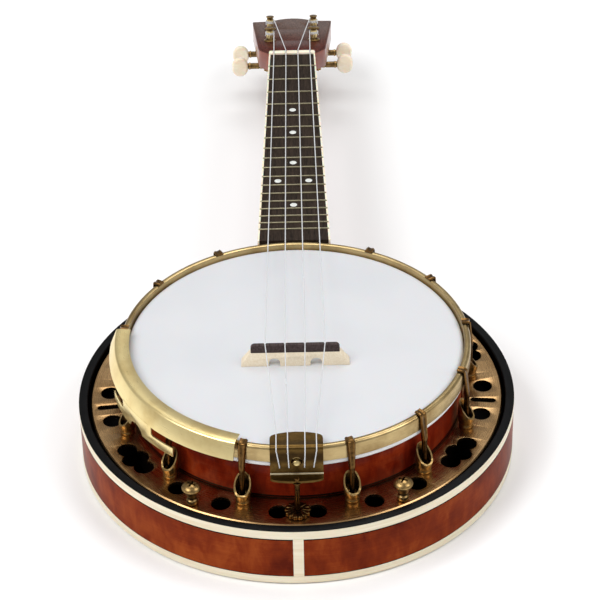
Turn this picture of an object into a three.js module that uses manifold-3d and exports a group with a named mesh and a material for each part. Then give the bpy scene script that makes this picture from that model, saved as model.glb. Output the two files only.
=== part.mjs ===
// A banjo ukulele with a resonator, in millimetres, +Z up, lying on its flat back.
// The pot is centred on the Z axis, the neck points along +Y and the tailpiece is at -Y.
// The origin is the centre of the resonator's back.

import * as THREE from 'three';
import { mergeVertices } from 'three/addons/utils/BufferGeometryUtils.js';
import Module from 'manifold-3d';

const wasm = await Module();
wasm.setup();

const degree = Math.PI / 180;

// General
const facetCount = 48;
const clearance = 0.3;
const overrun = 2;

// Resonator, whose wall stands a ring's width away from the rim
const ringWidth = 26.7;
const resonatorHeight = 39.3;
const backThickness = 5;
const wallThickness = 5.4;
const coveWidth = 5;
const bindingDepth = 1.6;
const topBindingHeight = 5.9;
const bottomBindingHeight = 5;
const bindingFloorGap = 0.4;
const edgeRingThickness = 1.5;
const edgeRingLip = 0.5;
const edgeRingBevel = 0.3;
const lugRadius = 6.8;
const lugOverlap = 0.6;

// Wooden rim
const rimRadius = 100;
const rimWall = 9;
const rimFloorGap = 11;
const rimHeight = 58.1;
const ledgeWidth = 3;
const bearingBevel = 1.5;
const bearingLand = 2;

// Flange and its cut-outs
const flangeDrop = 1.7;
const flangeThickness = 2;
const flangeGap = 2;
const cutoutHoleRadius = 5.8;
const tailHoleAngle = 5.6 * degree;
const screwHoleAngle = 7.4 * degree;
const slotHoleAngle = 7 * degree;
const slotLength = 15;
const slotWidth = 4.2;
const slotEndSteps = 4;
const lobeRadius = 4.9;
const lobeReach = 8;
const lobeSpread = 2.9;
const heelNotchInset = 1.7;
const heelNotchLand = 5.7;
const cutoutSides = 10;

// Drum head and the hoops
const skinThickness = 0.8;
const skinCorner = 2.2;
const skirtWall = 0.7;
const collarDepth = 12.2;
const fleshHoopHeight = 5.8;
const fleshHoopWidth = 2.7;
const hoopWidth = 3.9;
const hoopHeight = 9.6;
const hoopBevel = 1;

// Hooks and the shoes that hold them, counted from the tail on each side
const hookAngles = [17, 43.5, 70.2, 97.6, 125.8, 152.7].map((angle) => angle * degree);
const clawWidth = 5.2;
const clawThickness = 1.4;
const clawLength = 11;
const clawShares = [[-1, -1], [0, -1], [1, -1], [1, 0.4], [0.5, 1], [0, 0.4], [-0.5, 1], [-1, 0.4]];
const clawStartTurn = -135 * degree;
const rodRadius = 1.65;
const taperLength = 5;
const hookNutRadius = 3.4;
const hookNutHeight = 3.2;
const hookEndLength = 2;
const shoeFootRadius = 4.2;
const shoeFootHeight = 2.4;
const shoeRadius = 5.2;
const shoeFlareHeight = 5;
const shoeWall = 1.1;
const shoeFloor = 5;
const shoeLipHeight = 6.2;
const shoeTipHeight = 18.9;
const shoeSides = 8;
const scoopShares = [[1, 0], [0.5, 0.12], [0, 0.3], [-0.5, 0.57], [-1, 1]];

// Resonator screws
const screwInset = 6.8;
const screwHeadRadius = 5.4;
const screwHeadHeight = 4;
const screwStandoff = 12.4;
const screwWaistRadius = 2.6;
const screwCollarRadius = 3.5;
const screwCollarHeight = 4;
const screwShankRadius = 2;
const screwShankLength = 15;
const screwSides = 8;

// Bridge
const bridgeOffset = 20.5;
const bridgeCompensation = 4.85;
const bridgeHeight = 13.7;
const bridgeFootReach = 32.2;
const bridgeTopReach = 26.3;
const bridgeShoulderHeight = 8.8;
const bridgeCentreFootReach = 9;
const bridgeArchWidth = 6.7;
const bridgeArchHeight = 5;
const bridgeFootDepth = 7.2;
const bridgeTopDepth = 2.6;
const bridgeCornerRadius = 2.4;
const bridgeSlotDepth = 1.1;
const archShares = [[-1, 0], [-1, 0.5], [-0.6, 0.9], [0, 1], [0.6, 0.9], [1, 0.5], [1, 0]];

// Tailpiece and its thumb nut
const tailWidth = 30.2;
const tailPlate = 1.4;
const tailFrontReach = 15.6;
const tailFrontBow = 6;
const tailRise = 1.3;
const tailStandoff = 2;
const tailDrop = 18.3;
const tailRidge = 0.7;
const tailLipReach = 6.6;
const tailLipBow = 3;
const tailEndShares = [[1, 0], [0.93, 0.45], [0.7, 0.72], [0.4, 0.92], [0, 1]];
const tailHoleRadius = 3;
const tailHoleDrop = 9.4;
const tailRodRadius = 1.5;
const tailRodStandoff = 5.2;
const tailRodLength = 30;
const thumbNutRadius = 7.6;
const thumbNutHeight = 2.4;
const thumbNutKnurl = 0.7;
const thumbNutScallops = 14;

// Armrest
const armrestMiddleAngle = -57 * degree;
const armrestHalfSpan = 38.2 * degree;
const armrestInset = 2;
const armrestPlate = 0.9;
const armrestCrestReach = 2.8;
const armrestSkirtReach = 5.6;
const armrestSkirtDrop = 10.6;
const armrestBracketDrop = 22.4;
const armrestRootHalfSpan = 8.2 * degree;
const armrestFingerHalfSpan = 17.4 * degree;
const armrestSlotHeight = 3.2;
const armrestArchHalfSpan = 3.4 * degree;
const armrestArchHeight = 5.2;
const armrestSteps = 18;

// Strings: places across the neck, from the left, at the nut, bridge and tailpiece
const stringRadius = 0.4;
const nutPlaces = [-13.05, -4.35, 4.35, 13.05];
const bridgePlaces = [-17.7, -5.9, 5.9, 17.7];
const tailFrontPlaces = [-11.4, -4.9, 4.9, 11.4];
const tailEndPlaces = [-9.7, -4.4, 4.4, 9.7];
const stringSides = 6;
const wrapTurns = 2.5;
const wrapPitch = 1.32;
const wrapSteps = 14;
const wrapStartHeight = 6.4;
const stringStub = 2.2;
const knotRadius = 1.1;

// Neck, in a frame that follows the fingerboard's top from the nut
const scaleLength = 381;
const nutHeight = 67.7;
const neckPitch = 2.18 * degree;
const boardThickness = 5;
const boardNutWidth = 33.4;
const boardEndWidth = 46.4;
const boardEndGap = 0.5;
const boardTongue = 10;
const fretsPerOctave = 12;
const fretWidth = 1.4;
const fretHeight = 0.8;
const fretCrownShare = 0.5;
const neckNutDepth = 14;
const neckHeelDepth = 17;
const heelLength = 42;
const heelFloorGap = 12;
const heelPower = 2.2;
const roundingPower = 0.78;
const neckSides = 10;
const dowelWidth = 14;
const dowelHeight = 14;
const dowelDrop = 1.6;

// String nut
const nutThickness = 4;
const nutRise = 1.2;
const nutShift = 3;
const nutSlotDepth = 0.6;
const nutSlotWidth = 1.6;

// Headstock, in a frame that follows its face from behind the nut
const headTilt = 14 * degree;
const headStep = 0.15;
const headLength = 85.3;
const headCrown = 9.7;
const headCrownHalfWidth = 16.5;
const headShoulderRise = 2.2;
const headEarHalfWidth = 24.5;
const headEarReach = 12.4;
const headTopHalfWidth = 29.7;
const headThickness = 12.7;
const veneerThickness = 1.5;

// Tuners
const postSpread = 16.2;
const postPlaces = [30.6, 63.4];
const postRadius = 2.4;
const postHeight = 10.2;
const postCapRadius = 2.9;
const postCapHeight = 2;
const bushRadius = 4.4;
const bushHeight = 1.4;
const postSides = 10;
const tunerPlate = 1.2;
const tunerPlateHalfWidth = 7.4;
const tunerPlateNear = 15;
const tunerPlateFar = 12.4;
const gearTeeth = 14;
const wormPitch = 2;
const wormRadius = 2.3;
const threadHeight = 1.6;
const threadTurns = 3;
const threadSteps = 6;
const wormSides = 8;
const gearThickness = 3.4;
const gearTipRise = 0.64;
const gearRootDrop = 0.96;
const gearTipShare = 0.3;
const gearRootShare = 0.42;
const wormDepth = 4.8;
const earThickness = 1.2;
const earHalfWidth = 2.5;
const earBelow = 3;
const journalRadius = 1.5;
const shaftRadius = 2.2;
const shaftReach = 32.5;
const buttonReach = 45;
const buttonHalfHeight = 7.4;
const buttonThickness = 6;
const buttonBevel = 1.6;
const buttonOffset = 0.5;
const buttonShares = [
  [0, -0.3], [0.12, -0.62], [0.34, -0.9], [0.62, -1], [0.88, -0.78], [1, -0.35],
  [1, 0.35], [0.88, 0.78], [0.62, 1], [0.34, 0.9], [0.12, 0.62], [0, 0.3],
];

// Places that follow from the sizes
const wallInnerRadius = rimRadius + ringWidth;
const resonatorRadius = wallInnerRadius + wallThickness;
const rebateRadius = resonatorRadius - bindingDepth - clearance;
const bindingRadius = resonatorRadius - bindingDepth;
const wallTop = resonatorHeight - edgeRingThickness;
const topBindingTop = resonatorHeight - edgeRingLip;
const topBindingFloor = topBindingTop - topBindingHeight;
const bottomBindingTop = bindingFloorGap + bottomBindingHeight;
const flangeTop = resonatorHeight - flangeDrop;
const flangeFloor = flangeTop - flangeThickness;
const flangeRadius = wallInnerRadius - flangeGap;
const cutoutCircleRadius = rimRadius + ringWidth / 2;
const screwCircleRadius = wallInnerRadius - screwInset;
const rimFloor = backThickness + rimFloorGap;
const rimTop = rimFloor + rimHeight;
const headTop = rimTop + skinThickness;
const skirtInnerRadius = rimRadius + clearance;
const skirtOuterRadius = skirtInnerRadius + skirtWall;
const collarFloor = rimTop - collarDepth;
const hoopFloor = collarFloor + fleshHoopHeight;
const hoopTop = hoopFloor + hoopHeight;
const hoopInnerRadius = skirtOuterRadius + clearance;
const hoopOuterRadius = hoopInnerRadius + hoopWidth;
const hookRadius = hoopOuterRadius + clearance + rodRadius;
const clawTop = hoopTop + clearance + clawThickness;
const tailTop = hoopTop + tailRise + tailPlate;
const tailOuterRadius = hoopOuterRadius + tailStandoff + tailPlate;
const tailLipTop = tailTop - tailDrop;
const tailRodRadiusOut = tailOuterRadius + tailRodStandoff;
const saddleY = -bridgeOffset;
const nutY = scaleLength + bridgeCompensation - bridgeOffset;
const stringCount = nutPlaces.length;
const screwAngles = [midAngle(0), midAngle(4)];

// Finishes
const mahogany = finish('#7a2a16', 0.25, 0);
const rimWood = finish('#8a3417', 0.3, 0);
const blackTrim = finish('#1b1b1d', 0.35, 0);
const creamTrim = finish('#e9dcbf', 0.4, 0);
const agedBrass = finish('#8f7347', 0.35, 1);
const hoopBrass = finish('#b69e72', 0.3, 1);
const goldPlate = finish('#cbb578', 0.25, 1);
const drumSkin = finish('#e4e5e8', 0.6, 0);
const darkBoard = finish('#2c201b', 0.5, 0);
const darkVeneer = finish('#4a3934', 0.4, 0);
const mapleWood = finish('#e6d2ae', 0.5, 0);
const ivoryPlastic = finish('#efe3c6', 0.3, 0);
const nylon = finish('#e8e8e4', 0.3, 0);

function finish(color, roughness, metalness) {
  return new THREE.MeshStandardMaterial({ color, roughness, metalness });
}

/** The angle halfway between hook number `index` and the next one. */
function midAngle(index) {
  return (hookAngles[index] + hookAngles[index + 1]) / 2;
}

/** Six times the volume that the triangles enclose, negative when they face inwards. */
function signedVolume(geometry) {
  const position = geometry.getAttribute('position');
  const index = geometry.getIndex();
  const corners = [new THREE.Vector3(), new THREE.Vector3(), new THREE.Vector3()];
  let total = 0;
  for (let i = 0; i < index.count; i += 3) {
    corners.forEach((corner, k) => corner.fromBufferAttribute(position, index.getX(i + k)));
    total += corners[0].dot(corners[1].clone().cross(corners[2]));
  }
  return total;
}

/** The same surface with shared corners, no empty triangles and its faces pointing out. */
function closed(geometry) {
  const bare = new THREE.BufferGeometry();
  bare.setAttribute('position', geometry.getAttribute('position'));
  bare.setIndex(geometry.getIndex());
  const merged = mergeVertices(bare);
  const source = merged.getIndex();
  const kept = [];
  for (let i = 0; i < source.count; i += 3) {
    const face = [source.getX(i), source.getX(i + 1), source.getX(i + 2)];
    if (new Set(face).size === 3) kept.push(face);
  }
  merged.setIndex(kept.flat());
  if (signedVolume(merged) < 0) merged.setIndex(kept.map((face) => face.reverse()).flat());
  return merged;
}

function toSolid(geometry) {
  const shell = closed(geometry);
  return new wasm.Manifold(new wasm.Mesh({
    numProp: 3,
    vertProperties: new Float32Array(shell.getAttribute('position').array),
    triVerts: new Uint32Array(shell.getIndex().array),
  }));
}

function toGeometry(solid) {
  const mesh = solid.getMesh();
  const geometry = new THREE.BufferGeometry();
  geometry.setAttribute('position', new THREE.BufferAttribute(new Float32Array(mesh.vertProperties), 3));
  geometry.setIndex(new THREE.BufferAttribute(new Uint32Array(mesh.triVerts), 1));
  return geometry;
}

function cut(geometry, tools) {
  return toGeometry(tools.reduce((solid, tool) => solid.subtract(toSolid(tool)), toSolid(geometry)));
}

function join(geometries) {
  return toGeometry(geometries.map(toSolid).reduce((solid, other) => solid.add(other)));
}

function common(first, second) {
  return toGeometry(toSolid(first).intersect(toSolid(second)));
}

/** A ring or disc turned about the Z axis from [radius, height] points. */
function turned(profile, sides = facetCount) {
  const points = profile.map(([radius, height]) => new THREE.Vector2(radius, height));
  return closed(new THREE.LatheGeometry(points, sides).rotateX(Math.PI / 2));
}

/** The same, for a profile that closes on itself away from the axis. */
function turnedRing(profile, sides = facetCount) {
  return turned([...profile, profile[0]], sides);
}

/** A flat outline of [x, y] points, given a thickness from `floor` upwards. */
function slab(outline, floor, thickness) {
  const shape = new THREE.Shape(outline.map(([x, y]) => new THREE.Vector2(x, y)));
  const geometry = new THREE.ExtrudeGeometry(shape, { depth: thickness, bevelEnabled: false });
  return closed(geometry.translate(0, 0, floor));
}

/** An outline of [x, z] points, centred on y, with its depth along Y. */
function slabAcross(outline, y, depth) {
  return slab(outline, -depth / 2, depth).rotateX(Math.PI / 2).translate(0, y, 0);
}

/** An outline of [y, z] points with its width along X, centred on x. */
function slabAlong(outline, x, width) {
  const turn = new THREE.Matrix4().makeBasis(
    new THREE.Vector3(0, 1, 0),
    new THREE.Vector3(0, 0, 1),
    new THREE.Vector3(1, 0, 0),
  );
  return slab(outline, -width / 2, width).applyMatrix4(turn).translate(x, 0, 0);
}

function block(lowX, highX, lowY, highY, lowZ, highZ) {
  const box = new THREE.BoxGeometry(highX - lowX, highY - lowY, highZ - lowZ);
  return closed(box.translate((lowX + highX) / 2, (lowY + highY) / 2, (lowZ + highZ) / 2));
}

/** An upright round bar from `low` to `high`. */
function bar(radius, x, y, low, high, sides) {
  const cylinder = new THREE.CylinderGeometry(radius, radius, high - low, sides);
  return closed(cylinder.rotateX(Math.PI / 2).translate(x, y, (low + high) / 2));
}

/** A point on a circle about the Z axis, at an angle counted from the tail. */
function around(radius, angle) {
  return [radius * Math.sin(angle), -radius * Math.cos(angle)];
}

/** A skin through rings of points that all have the same count, closed by flat ends. */
function loft(rings, endFaces = null) {
  const count = rings[0].length;
  const middle = (ring) => ring.reduce((sum, p) => sum.add(p), new THREE.Vector3()).divideScalar(count);
  const points = rings.flat();
  const faces = [];
  for (let i = 0; i + 1 < rings.length; i += 1) {
    for (let k = 0; k < count; k += 1) {
      const a = i * count + k;
      const b = i * count + (k + 1) % count;
      faces.push(a, b, b + count, a, b + count, a + count);
    }
  }
  const last = (rings.length - 1) * count;
  if (endFaces) {
    endFaces.forEach(([a, b, c]) => faces.push(a, c, b, last + a, last + b, last + c));
  } else {
    const first = points.push(middle(rings[0]), middle(rings[rings.length - 1])) - 2;
    for (let k = 0; k < count; k += 1) {
      faces.push(k, first, (k + 1) % count);
      faces.push(last + (k + 1) % count, first + 1, last + k);
    }
  }
  const geometry = new THREE.BufferGeometry().setFromPoints(points);
  geometry.setIndex(faces);
  return closed(geometry);
}

/** A skin through copies of a [radius, height] section, between two angles about the Z axis. */
function sweep(section, from, to, steps) {
  const rings = [];
  for (let step = 0; step <= steps; step += 1) {
    const angle = from + ((to - from) * step) / steps;
    rings.push(section.map(([radius, z]) => new THREE.Vector3(...around(radius, angle), z)));
  }
  const flat = section.map(([radius, z]) => new THREE.Vector2(radius, z));
  return loft(rings, THREE.ShapeUtils.triangulateShape(flat, []));
}

/** A round tube through points, its radius given by a function of the point's number. */
function tube(points, radiusAt, sides) {
  const rings = [];
  let normal = new THREE.Vector3(1, 0, 0);
  points.forEach((point, i) => {
    const before = points[Math.max(i - 1, 0)];
    const after = points[Math.min(i + 1, points.length - 1)];
    const tangent = after.clone().sub(before).normalize();
    normal = normal.clone().addScaledVector(tangent, -normal.dot(tangent)).normalize();
    const side = tangent.clone().cross(normal);
    const ring = [];
    for (let k = 0; k < sides; k += 1) {
      const angle = (2 * Math.PI * k) / sides;
      ring.push(point.clone()
        .addScaledVector(normal, radiusAt(i) * Math.cos(angle))
        .addScaledVector(side, radiusAt(i) * Math.sin(angle)));
    }
    rings.push(ring);
  });
  return loft(rings);
}

const instrument = new THREE.Group();

function add(name, geometry, material, parent = instrument) {
  const mesh = new THREE.Mesh(closed(geometry), material);
  mesh.name = name;
  parent.add(mesh);
  return mesh;
}

/** Adds one copy on each side of the centre line, turned to `angle` from the tail. */
function addPair(name, number, geometry, material, angle) {
  [['left', -1], ['right', 1]].forEach(([side, sign]) => {
    add(`${name}_${side}_${number}`, geometry, material).rotation.z = sign * angle;
  });
}

// Resonator: a flat wooden back with a wall, four lugs for its screws, and its trim
function resonatorShell() {
  const bowl = turned([
    [0, 0],
    [rebateRadius, 0],
    [rebateRadius, bottomBindingTop],
    [resonatorRadius, bottomBindingTop],
    [resonatorRadius, topBindingFloor],
    [rebateRadius, topBindingFloor],
    [rebateRadius, wallTop],
    [wallInnerRadius, wallTop],
    [wallInnerRadius, backThickness + coveWidth],
    [wallInnerRadius - coveWidth, backThickness],
    [0, backThickness],
  ]);
  const lugCircle = wallInnerRadius + lugOverlap - lugRadius;
  const lugs = [];
  const bores = [];
  screwAngles.forEach((angle) => [-angle, angle].forEach((place) => {
    const lug = around(lugCircle, place);
    const bore = around(screwCircleRadius, place);
    const lugTop = flangeFloor - clearance;
    lugs.push(bar(lugRadius, ...lug, backThickness / 2, lugTop, cutoutSides));
    bores.push(bar(screwShankRadius + clearance, ...bore,
      flangeTop - screwShankLength - clearance, lugTop + overrun, screwSides));
  }));
  return cut(join([bowl, ...lugs]), bores);
}

function edgeRing() {
  return turnedRing([
    [wallInnerRadius, wallTop],
    [rebateRadius, wallTop],
    [rebateRadius, topBindingTop],
    [resonatorRadius, topBindingTop],
    [resonatorRadius - edgeRingBevel, resonatorHeight],
    [wallInnerRadius + edgeRingBevel, resonatorHeight],
    [wallInnerRadius, resonatorHeight - edgeRingBevel],
  ]);
}

function binding(floor, top) {
  return turnedRing([
    [bindingRadius, floor],
    [resonatorRadius, floor],
    [resonatorRadius, top],
    [bindingRadius, top],
  ]);
}

// Flange: a pierced metal ring that closes the gap between the rim and the resonator
function flange() {
  const low = flangeFloor - overrun;
  const high = flangeTop + overrun;
  const plate = turnedRing([
    [rimRadius + clearance, flangeFloor],
    [flangeRadius, flangeFloor],
    [flangeRadius, flangeTop],
    [rimRadius + clearance, flangeTop],
  ]);
  const tools = [];
  const hole = (radius, circle, angle, sides) => {
    tools.push(bar(radius, ...around(circle, angle), low, high, sides));
  };
  const quatrefoil = (angle) => {
    const reach = lobeReach / cutoutCircleRadius;
    [-reach, reach].forEach((turn) => hole(lobeRadius, cutoutCircleRadius, angle + turn, cutoutSides));
    [-lobeSpread, lobeSpread].forEach((out) => {
      hole(lobeRadius, cutoutCircleRadius + out, angle, cutoutSides);
    });
  };
  const slot = (angle) => {
    const straight = (slotLength - slotWidth) / 2;
    const radius = slotWidth / 2;
    const outline = [];
    [-1, 1].forEach((end) => {
      for (let step = 0; step <= slotEndSteps; step += 1) {
        const turn = (step / slotEndSteps) * Math.PI + (end > 0 ? 0 : Math.PI);
        outline.push([radius * Math.cos(turn), end * straight + radius * Math.sin(turn)]);
      }
    });
    const tool = slab(outline, low, high - low);
    tools.push(tool.translate(0, -cutoutCircleRadius, 0).rotateZ(angle));
  };
  [-1, 1].forEach((side) => {
    hole(cutoutHoleRadius, cutoutCircleRadius, side * tailHoleAngle, cutoutSides);
    screwAngles.forEach((angle) => {
      hole(cutoutHoleRadius, cutoutCircleRadius, side * (angle - screwHoleAngle), cutoutSides);
      hole(cutoutHoleRadius, cutoutCircleRadius, side * (angle + screwHoleAngle), cutoutSides);
      hole(screwShankRadius + clearance, screwCircleRadius, side * angle, screwSides);
    });
    [1, 3].forEach((gap) => quatrefoil(side * midAngle(gap)));
    [-slotHoleAngle, slotHoleAngle].forEach((turn) => {
      hole(cutoutHoleRadius, cutoutCircleRadius, side * (midAngle(2) + turn), cutoutSides);
    });
    slot(side * midAngle(2));
    hookAngles.forEach((angle) => hole(rodRadius + clearance, hookRadius, side * angle, screwSides));
  });
  tools.push(bar(tailRodRadius + clearance, 0, -tailRodRadiusOut, low, high, screwSides));
  const notch = boardEndWidth / 2 - heelNotchInset;
  tools.push(block(-notch, notch, rimRadius - rimWall, wallInnerRadius - heelNotchLand, low, high));
  return cut(plate, tools);
}

// Rim: a wooden hoop with an outer ledge for the flange and a hole for the dowel stick
function rim() {
  const outer = rimRadius + ledgeWidth;
  const inner = rimRadius - rimWall;
  const ring = turnedRing([
    [inner, rimFloor],
    [outer, rimFloor],
    [outer, flangeFloor],
    [rimRadius, flangeFloor],
    [rimRadius, rimTop - bearingBevel],
    [rimRadius - bearingBevel, rimTop],
    [rimRadius - bearingBevel - bearingLand, rimTop],
    [inner, rimTop - rimWall / 2],
  ]);
  const reach = dowelWidth / 2 + clearance;
  const top = dowelTop() + clearance;
  return cut(ring, [block(-reach, reach, inner - overrun, outer + overrun, top - dowelHeight - 2 * clearance, top)]);
}

function dowelTop() {
  return flangeFloor - dowelDrop;
}

// Head: a skin stretched over the rim, with its skirt and collar
function drumHead() {
  return turned([
    [0, headTop],
    [skirtOuterRadius - skinCorner, headTop],
    [skirtOuterRadius, headTop - skinCorner],
    [skirtOuterRadius, hoopFloor],
    [skirtInnerRadius + fleshHoopWidth, hoopFloor],
    [skirtInnerRadius + fleshHoopWidth, collarFloor],
    [skirtInnerRadius, collarFloor],
    [skirtInnerRadius, rimTop - bearingBevel],
    [skirtInnerRadius - bearingBevel, rimTop],
    [0, rimTop],
  ]);
}

function tensionHoop() {
  return turnedRing([
    [hoopInnerRadius, hoopFloor],
    [hoopOuterRadius, hoopFloor],
    [hoopOuterRadius, hoopTop - hoopBevel],
    [hoopOuterRadius - hoopBevel, hoopTop],
    [hoopInnerRadius + hoopBevel, hoopTop],
    [hoopInnerRadius, hoopTop - hoopBevel],
  ]);
}

// Each hook is a fluted claw over the hoop that runs down into a round rod with its nut
function hook() {
  const roundShares = clawShares.map((share, k) => {
    const angle = clawStartTurn + (k / clawShares.length) * 2 * Math.PI;
    return [Math.cos(angle), Math.sin(angle)];
  });
  const halfWidth = clawWidth / 2;
  const halfClaw = clawThickness / 2;
  const clawInner = hoopInnerRadius;
  const clawOut = hoopOuterRadius + clearance + halfClaw;
  const clawZ = clawTop - halfClaw;
  const clawEnd = clawZ - clawLength;
  const nutTop = flangeFloor - clearance;
  const nutFloor = nutTop - hookNutHeight;
  const station = (out, z, slope, shares, width, thickness) => shares.map(([across, outward]) => {
    const away = outward * thickness;
    return new THREE.Vector3(across * width, -(out + away * Math.cos(slope)), z + away * Math.sin(slope));
  });
  const flat = (out, z, slope) => station(out, z, slope, clawShares, halfWidth, halfClaw);
  const round = (z, radius) => station(hookRadius, z, 0, roundShares, radius, radius);
  return loft([
    flat(clawInner, clawZ, Math.PI / 2),
    flat(clawOut - halfClaw, clawZ, Math.PI / 2),
    flat(clawOut, clawZ - halfClaw, 0),
    flat(clawOut, clawEnd, 0),
    round(clawEnd - taperLength, rodRadius),
    round(nutTop, rodRadius),
    round(nutTop, hookNutRadius),
    round(nutFloor, hookNutRadius),
    round(nutFloor, rodRadius),
    round(nutFloor - hookEndLength, rodRadius),
  ]);
}

// Each shoe is a tube on the flange, scooped open towards the outside up to a pointed tip
function shoe() {
  const boreRadius = shoeRadius - shoeWall;
  const body = turnedRing([
    [rodRadius + clearance, 0],
    [shoeFootRadius, 0],
    [shoeFootRadius, shoeFootHeight],
    [shoeRadius, shoeFootHeight + shoeFlareHeight],
    [shoeRadius, shoeTipHeight],
    [boreRadius, shoeTipHeight],
    [boreRadius, shoeFloor],
    [rodRadius + clearance, shoeFloor],
  ], shoeSides);
  const rise = shoeTipHeight - shoeLipHeight;
  const curve = scoopShares.map(([out, up]) => [-out * shoeRadius, shoeLipHeight + up * rise]);
  const above = shoeTipHeight + overrun;
  const outline = [
    [-shoeRadius - overrun, shoeLipHeight],
    ...curve,
    [shoeRadius, above],
    [-shoeRadius - overrun, above],
  ];
  const scoop = slabAlong(outline, 0, 2 * (shoeRadius + overrun));
  return cut(body, [scoop]).translate(0, -hookRadius, flangeTop);
}

function resonatorScrew() {
  const collarTop = clearance + screwCollarHeight;
  const headFloor = clearance + screwStandoff - screwHeadHeight;
  const profile = [
    [0, -screwShankLength],
    [screwShankRadius, -screwShankLength],
    [screwShankRadius, clearance],
    [screwCollarRadius, clearance],
    [screwCollarRadius, collarTop - clearance],
    [screwWaistRadius, collarTop],
    [screwWaistRadius, headFloor],
    [screwHeadRadius, headFloor],
    [screwHeadRadius, headFloor + screwHeadHeight / 2],
    [screwHeadRadius / 2, headFloor + screwHeadHeight],
    [0, headFloor + screwHeadHeight],
  ];
  return turned(profile, screwSides).translate(0, -screwCircleRadius, flangeTop);
}

// Bridge: three feet with arched gaps between them, thin at its notched top
function bridge() {
  const bottom = [];
  [-1, 1].forEach((side) => {
    const centre = side * (bridgeCentreFootReach + bridgeArchWidth / 2);
    archShares.forEach(([x, z]) => {
      bottom.push([centre + (x * bridgeArchWidth) / 2, z * bridgeArchHeight]);
    });
  });
  const slots = [];
  [...bridgePlaces].reverse().forEach((x) => {
    const half = stringRadius + clearance;
    const bottomZ = bridgeHeight - bridgeSlotDepth;
    slots.push([x + half, bridgeHeight], [x + half, bottomZ], [x - half, bottomZ], [x - half, bridgeHeight]);
  });
  const outline = [
    [-bridgeFootReach, 0],
    ...bottom,
    [bridgeFootReach, 0],
    [bridgeTopReach, bridgeShoulderHeight],
    [bridgeTopReach, bridgeHeight - bridgeCornerRadius],
    [bridgeTopReach - bridgeCornerRadius, bridgeHeight],
    ...slots,
    [-bridgeTopReach + bridgeCornerRadius, bridgeHeight],
    [-bridgeTopReach, bridgeHeight - bridgeCornerRadius],
    [-bridgeTopReach, bridgeShoulderHeight],
  ];
  const side = [
    [-bridgeFootDepth / 2, 0],
    [bridgeFootDepth / 2, 0],
    [bridgeTopDepth / 2, bridgeHeight],
    [-bridgeTopDepth / 2, bridgeHeight],
  ];
  const front = slabAcross(outline, 0, bridgeFootDepth + overrun);
  return common(front, slabAlong(side, 0, 2 * bridgeFootReach + overrun)).translate(0, saddleY, headTop);
}

// Tailpiece: a bent plate over the hoop, with a lip below that its rod is screwed into
function tailpiece() {
  const inner = tailOuterRadius - tailPlate;
  const front = tailOuterRadius - tailFrontReach;
  const floor = tailTop - tailPlate;
  const lipOut = tailOuterRadius + tailLipReach;
  const side = [
    [-front, floor],
    [-front, tailTop],
    [-tailOuterRadius + 2 * tailRidge, tailTop],
    [-tailOuterRadius + tailRidge, tailTop + tailRidge / 2],
    [-tailOuterRadius, tailTop - tailRidge / 2],
    [-tailOuterRadius, tailLipTop],
    [-lipOut, tailLipTop],
    [-lipOut, tailLipTop - tailPlate],
    [-inner, tailLipTop - tailPlate],
    [-inner, floor],
  ];
  const half = tailWidth / 2;
  const bowed = (start, bow) => tailEndShares.map(([x, y]) => [x * half, start + y * bow]);
  const mirrored = (points) => points.slice(0, -1).reverse().map(([x, y]) => [-x, y]);
  const frontCurve = bowed(-front - tailFrontBow, tailFrontBow);
  const lipCurve = bowed(-lipOut + tailLipBow, -tailLipBow);
  const plan = [
    ...frontCurve,
    ...mirrored(frontCurve),
    ...mirrored(lipCurve).reverse(),
    ...[...lipCurve].reverse(),
  ];
  const bent = slabAlong(side, 0, tailWidth);
  const low = tailLipTop - tailPlate - overrun;
  const shaped = common(bent, slab(plan, low, tailTop + overrun - low));
  const boreY = -(inner + tailPlate / 2);
  const bore = bar(tailHoleRadius, 0, 0, -overrun, overrun, cutoutSides)
    .rotateX(Math.PI / 2).translate(0, boreY, tailTop - tailHoleDrop);
  const stringHoles = tailEndPlaces.map((x) => (
    bar(stringRadius + clearance, 0, 0, -overrun, overrun, stringSides)
      .rotateX(Math.PI / 2).translate(x, boreY, tailKnotHeight())
  ));
  const rod = bar(tailRodRadius, 0, -tailRodRadiusOut,
    tailLipTop - tailRodLength, tailLipTop + tailPlate, screwSides);
  return join([cut(shaped, [bore, ...stringHoles]), rod]);
}

function tailKnotHeight() {
  return hoopFloor - knotRadius;
}

function thumbNut() {
  const outline = [];
  for (let i = 0; i < thumbNutScallops * 2; i += 1) {
    const radius = thumbNutRadius - (i % 2) * thumbNutKnurl;
    outline.push(around(radius, (i * Math.PI) / thumbNutScallops));
  }
  const disc = slab(outline, 0, thumbNutHeight);
  const hole = bar(tailRodRadius + clearance, 0, 0, -overrun, thumbNutHeight + overrun, screwSides);
  return cut(disc, [hole]).translate(0, -tailRodRadiusOut, flangeTop + clearance);
}

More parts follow.
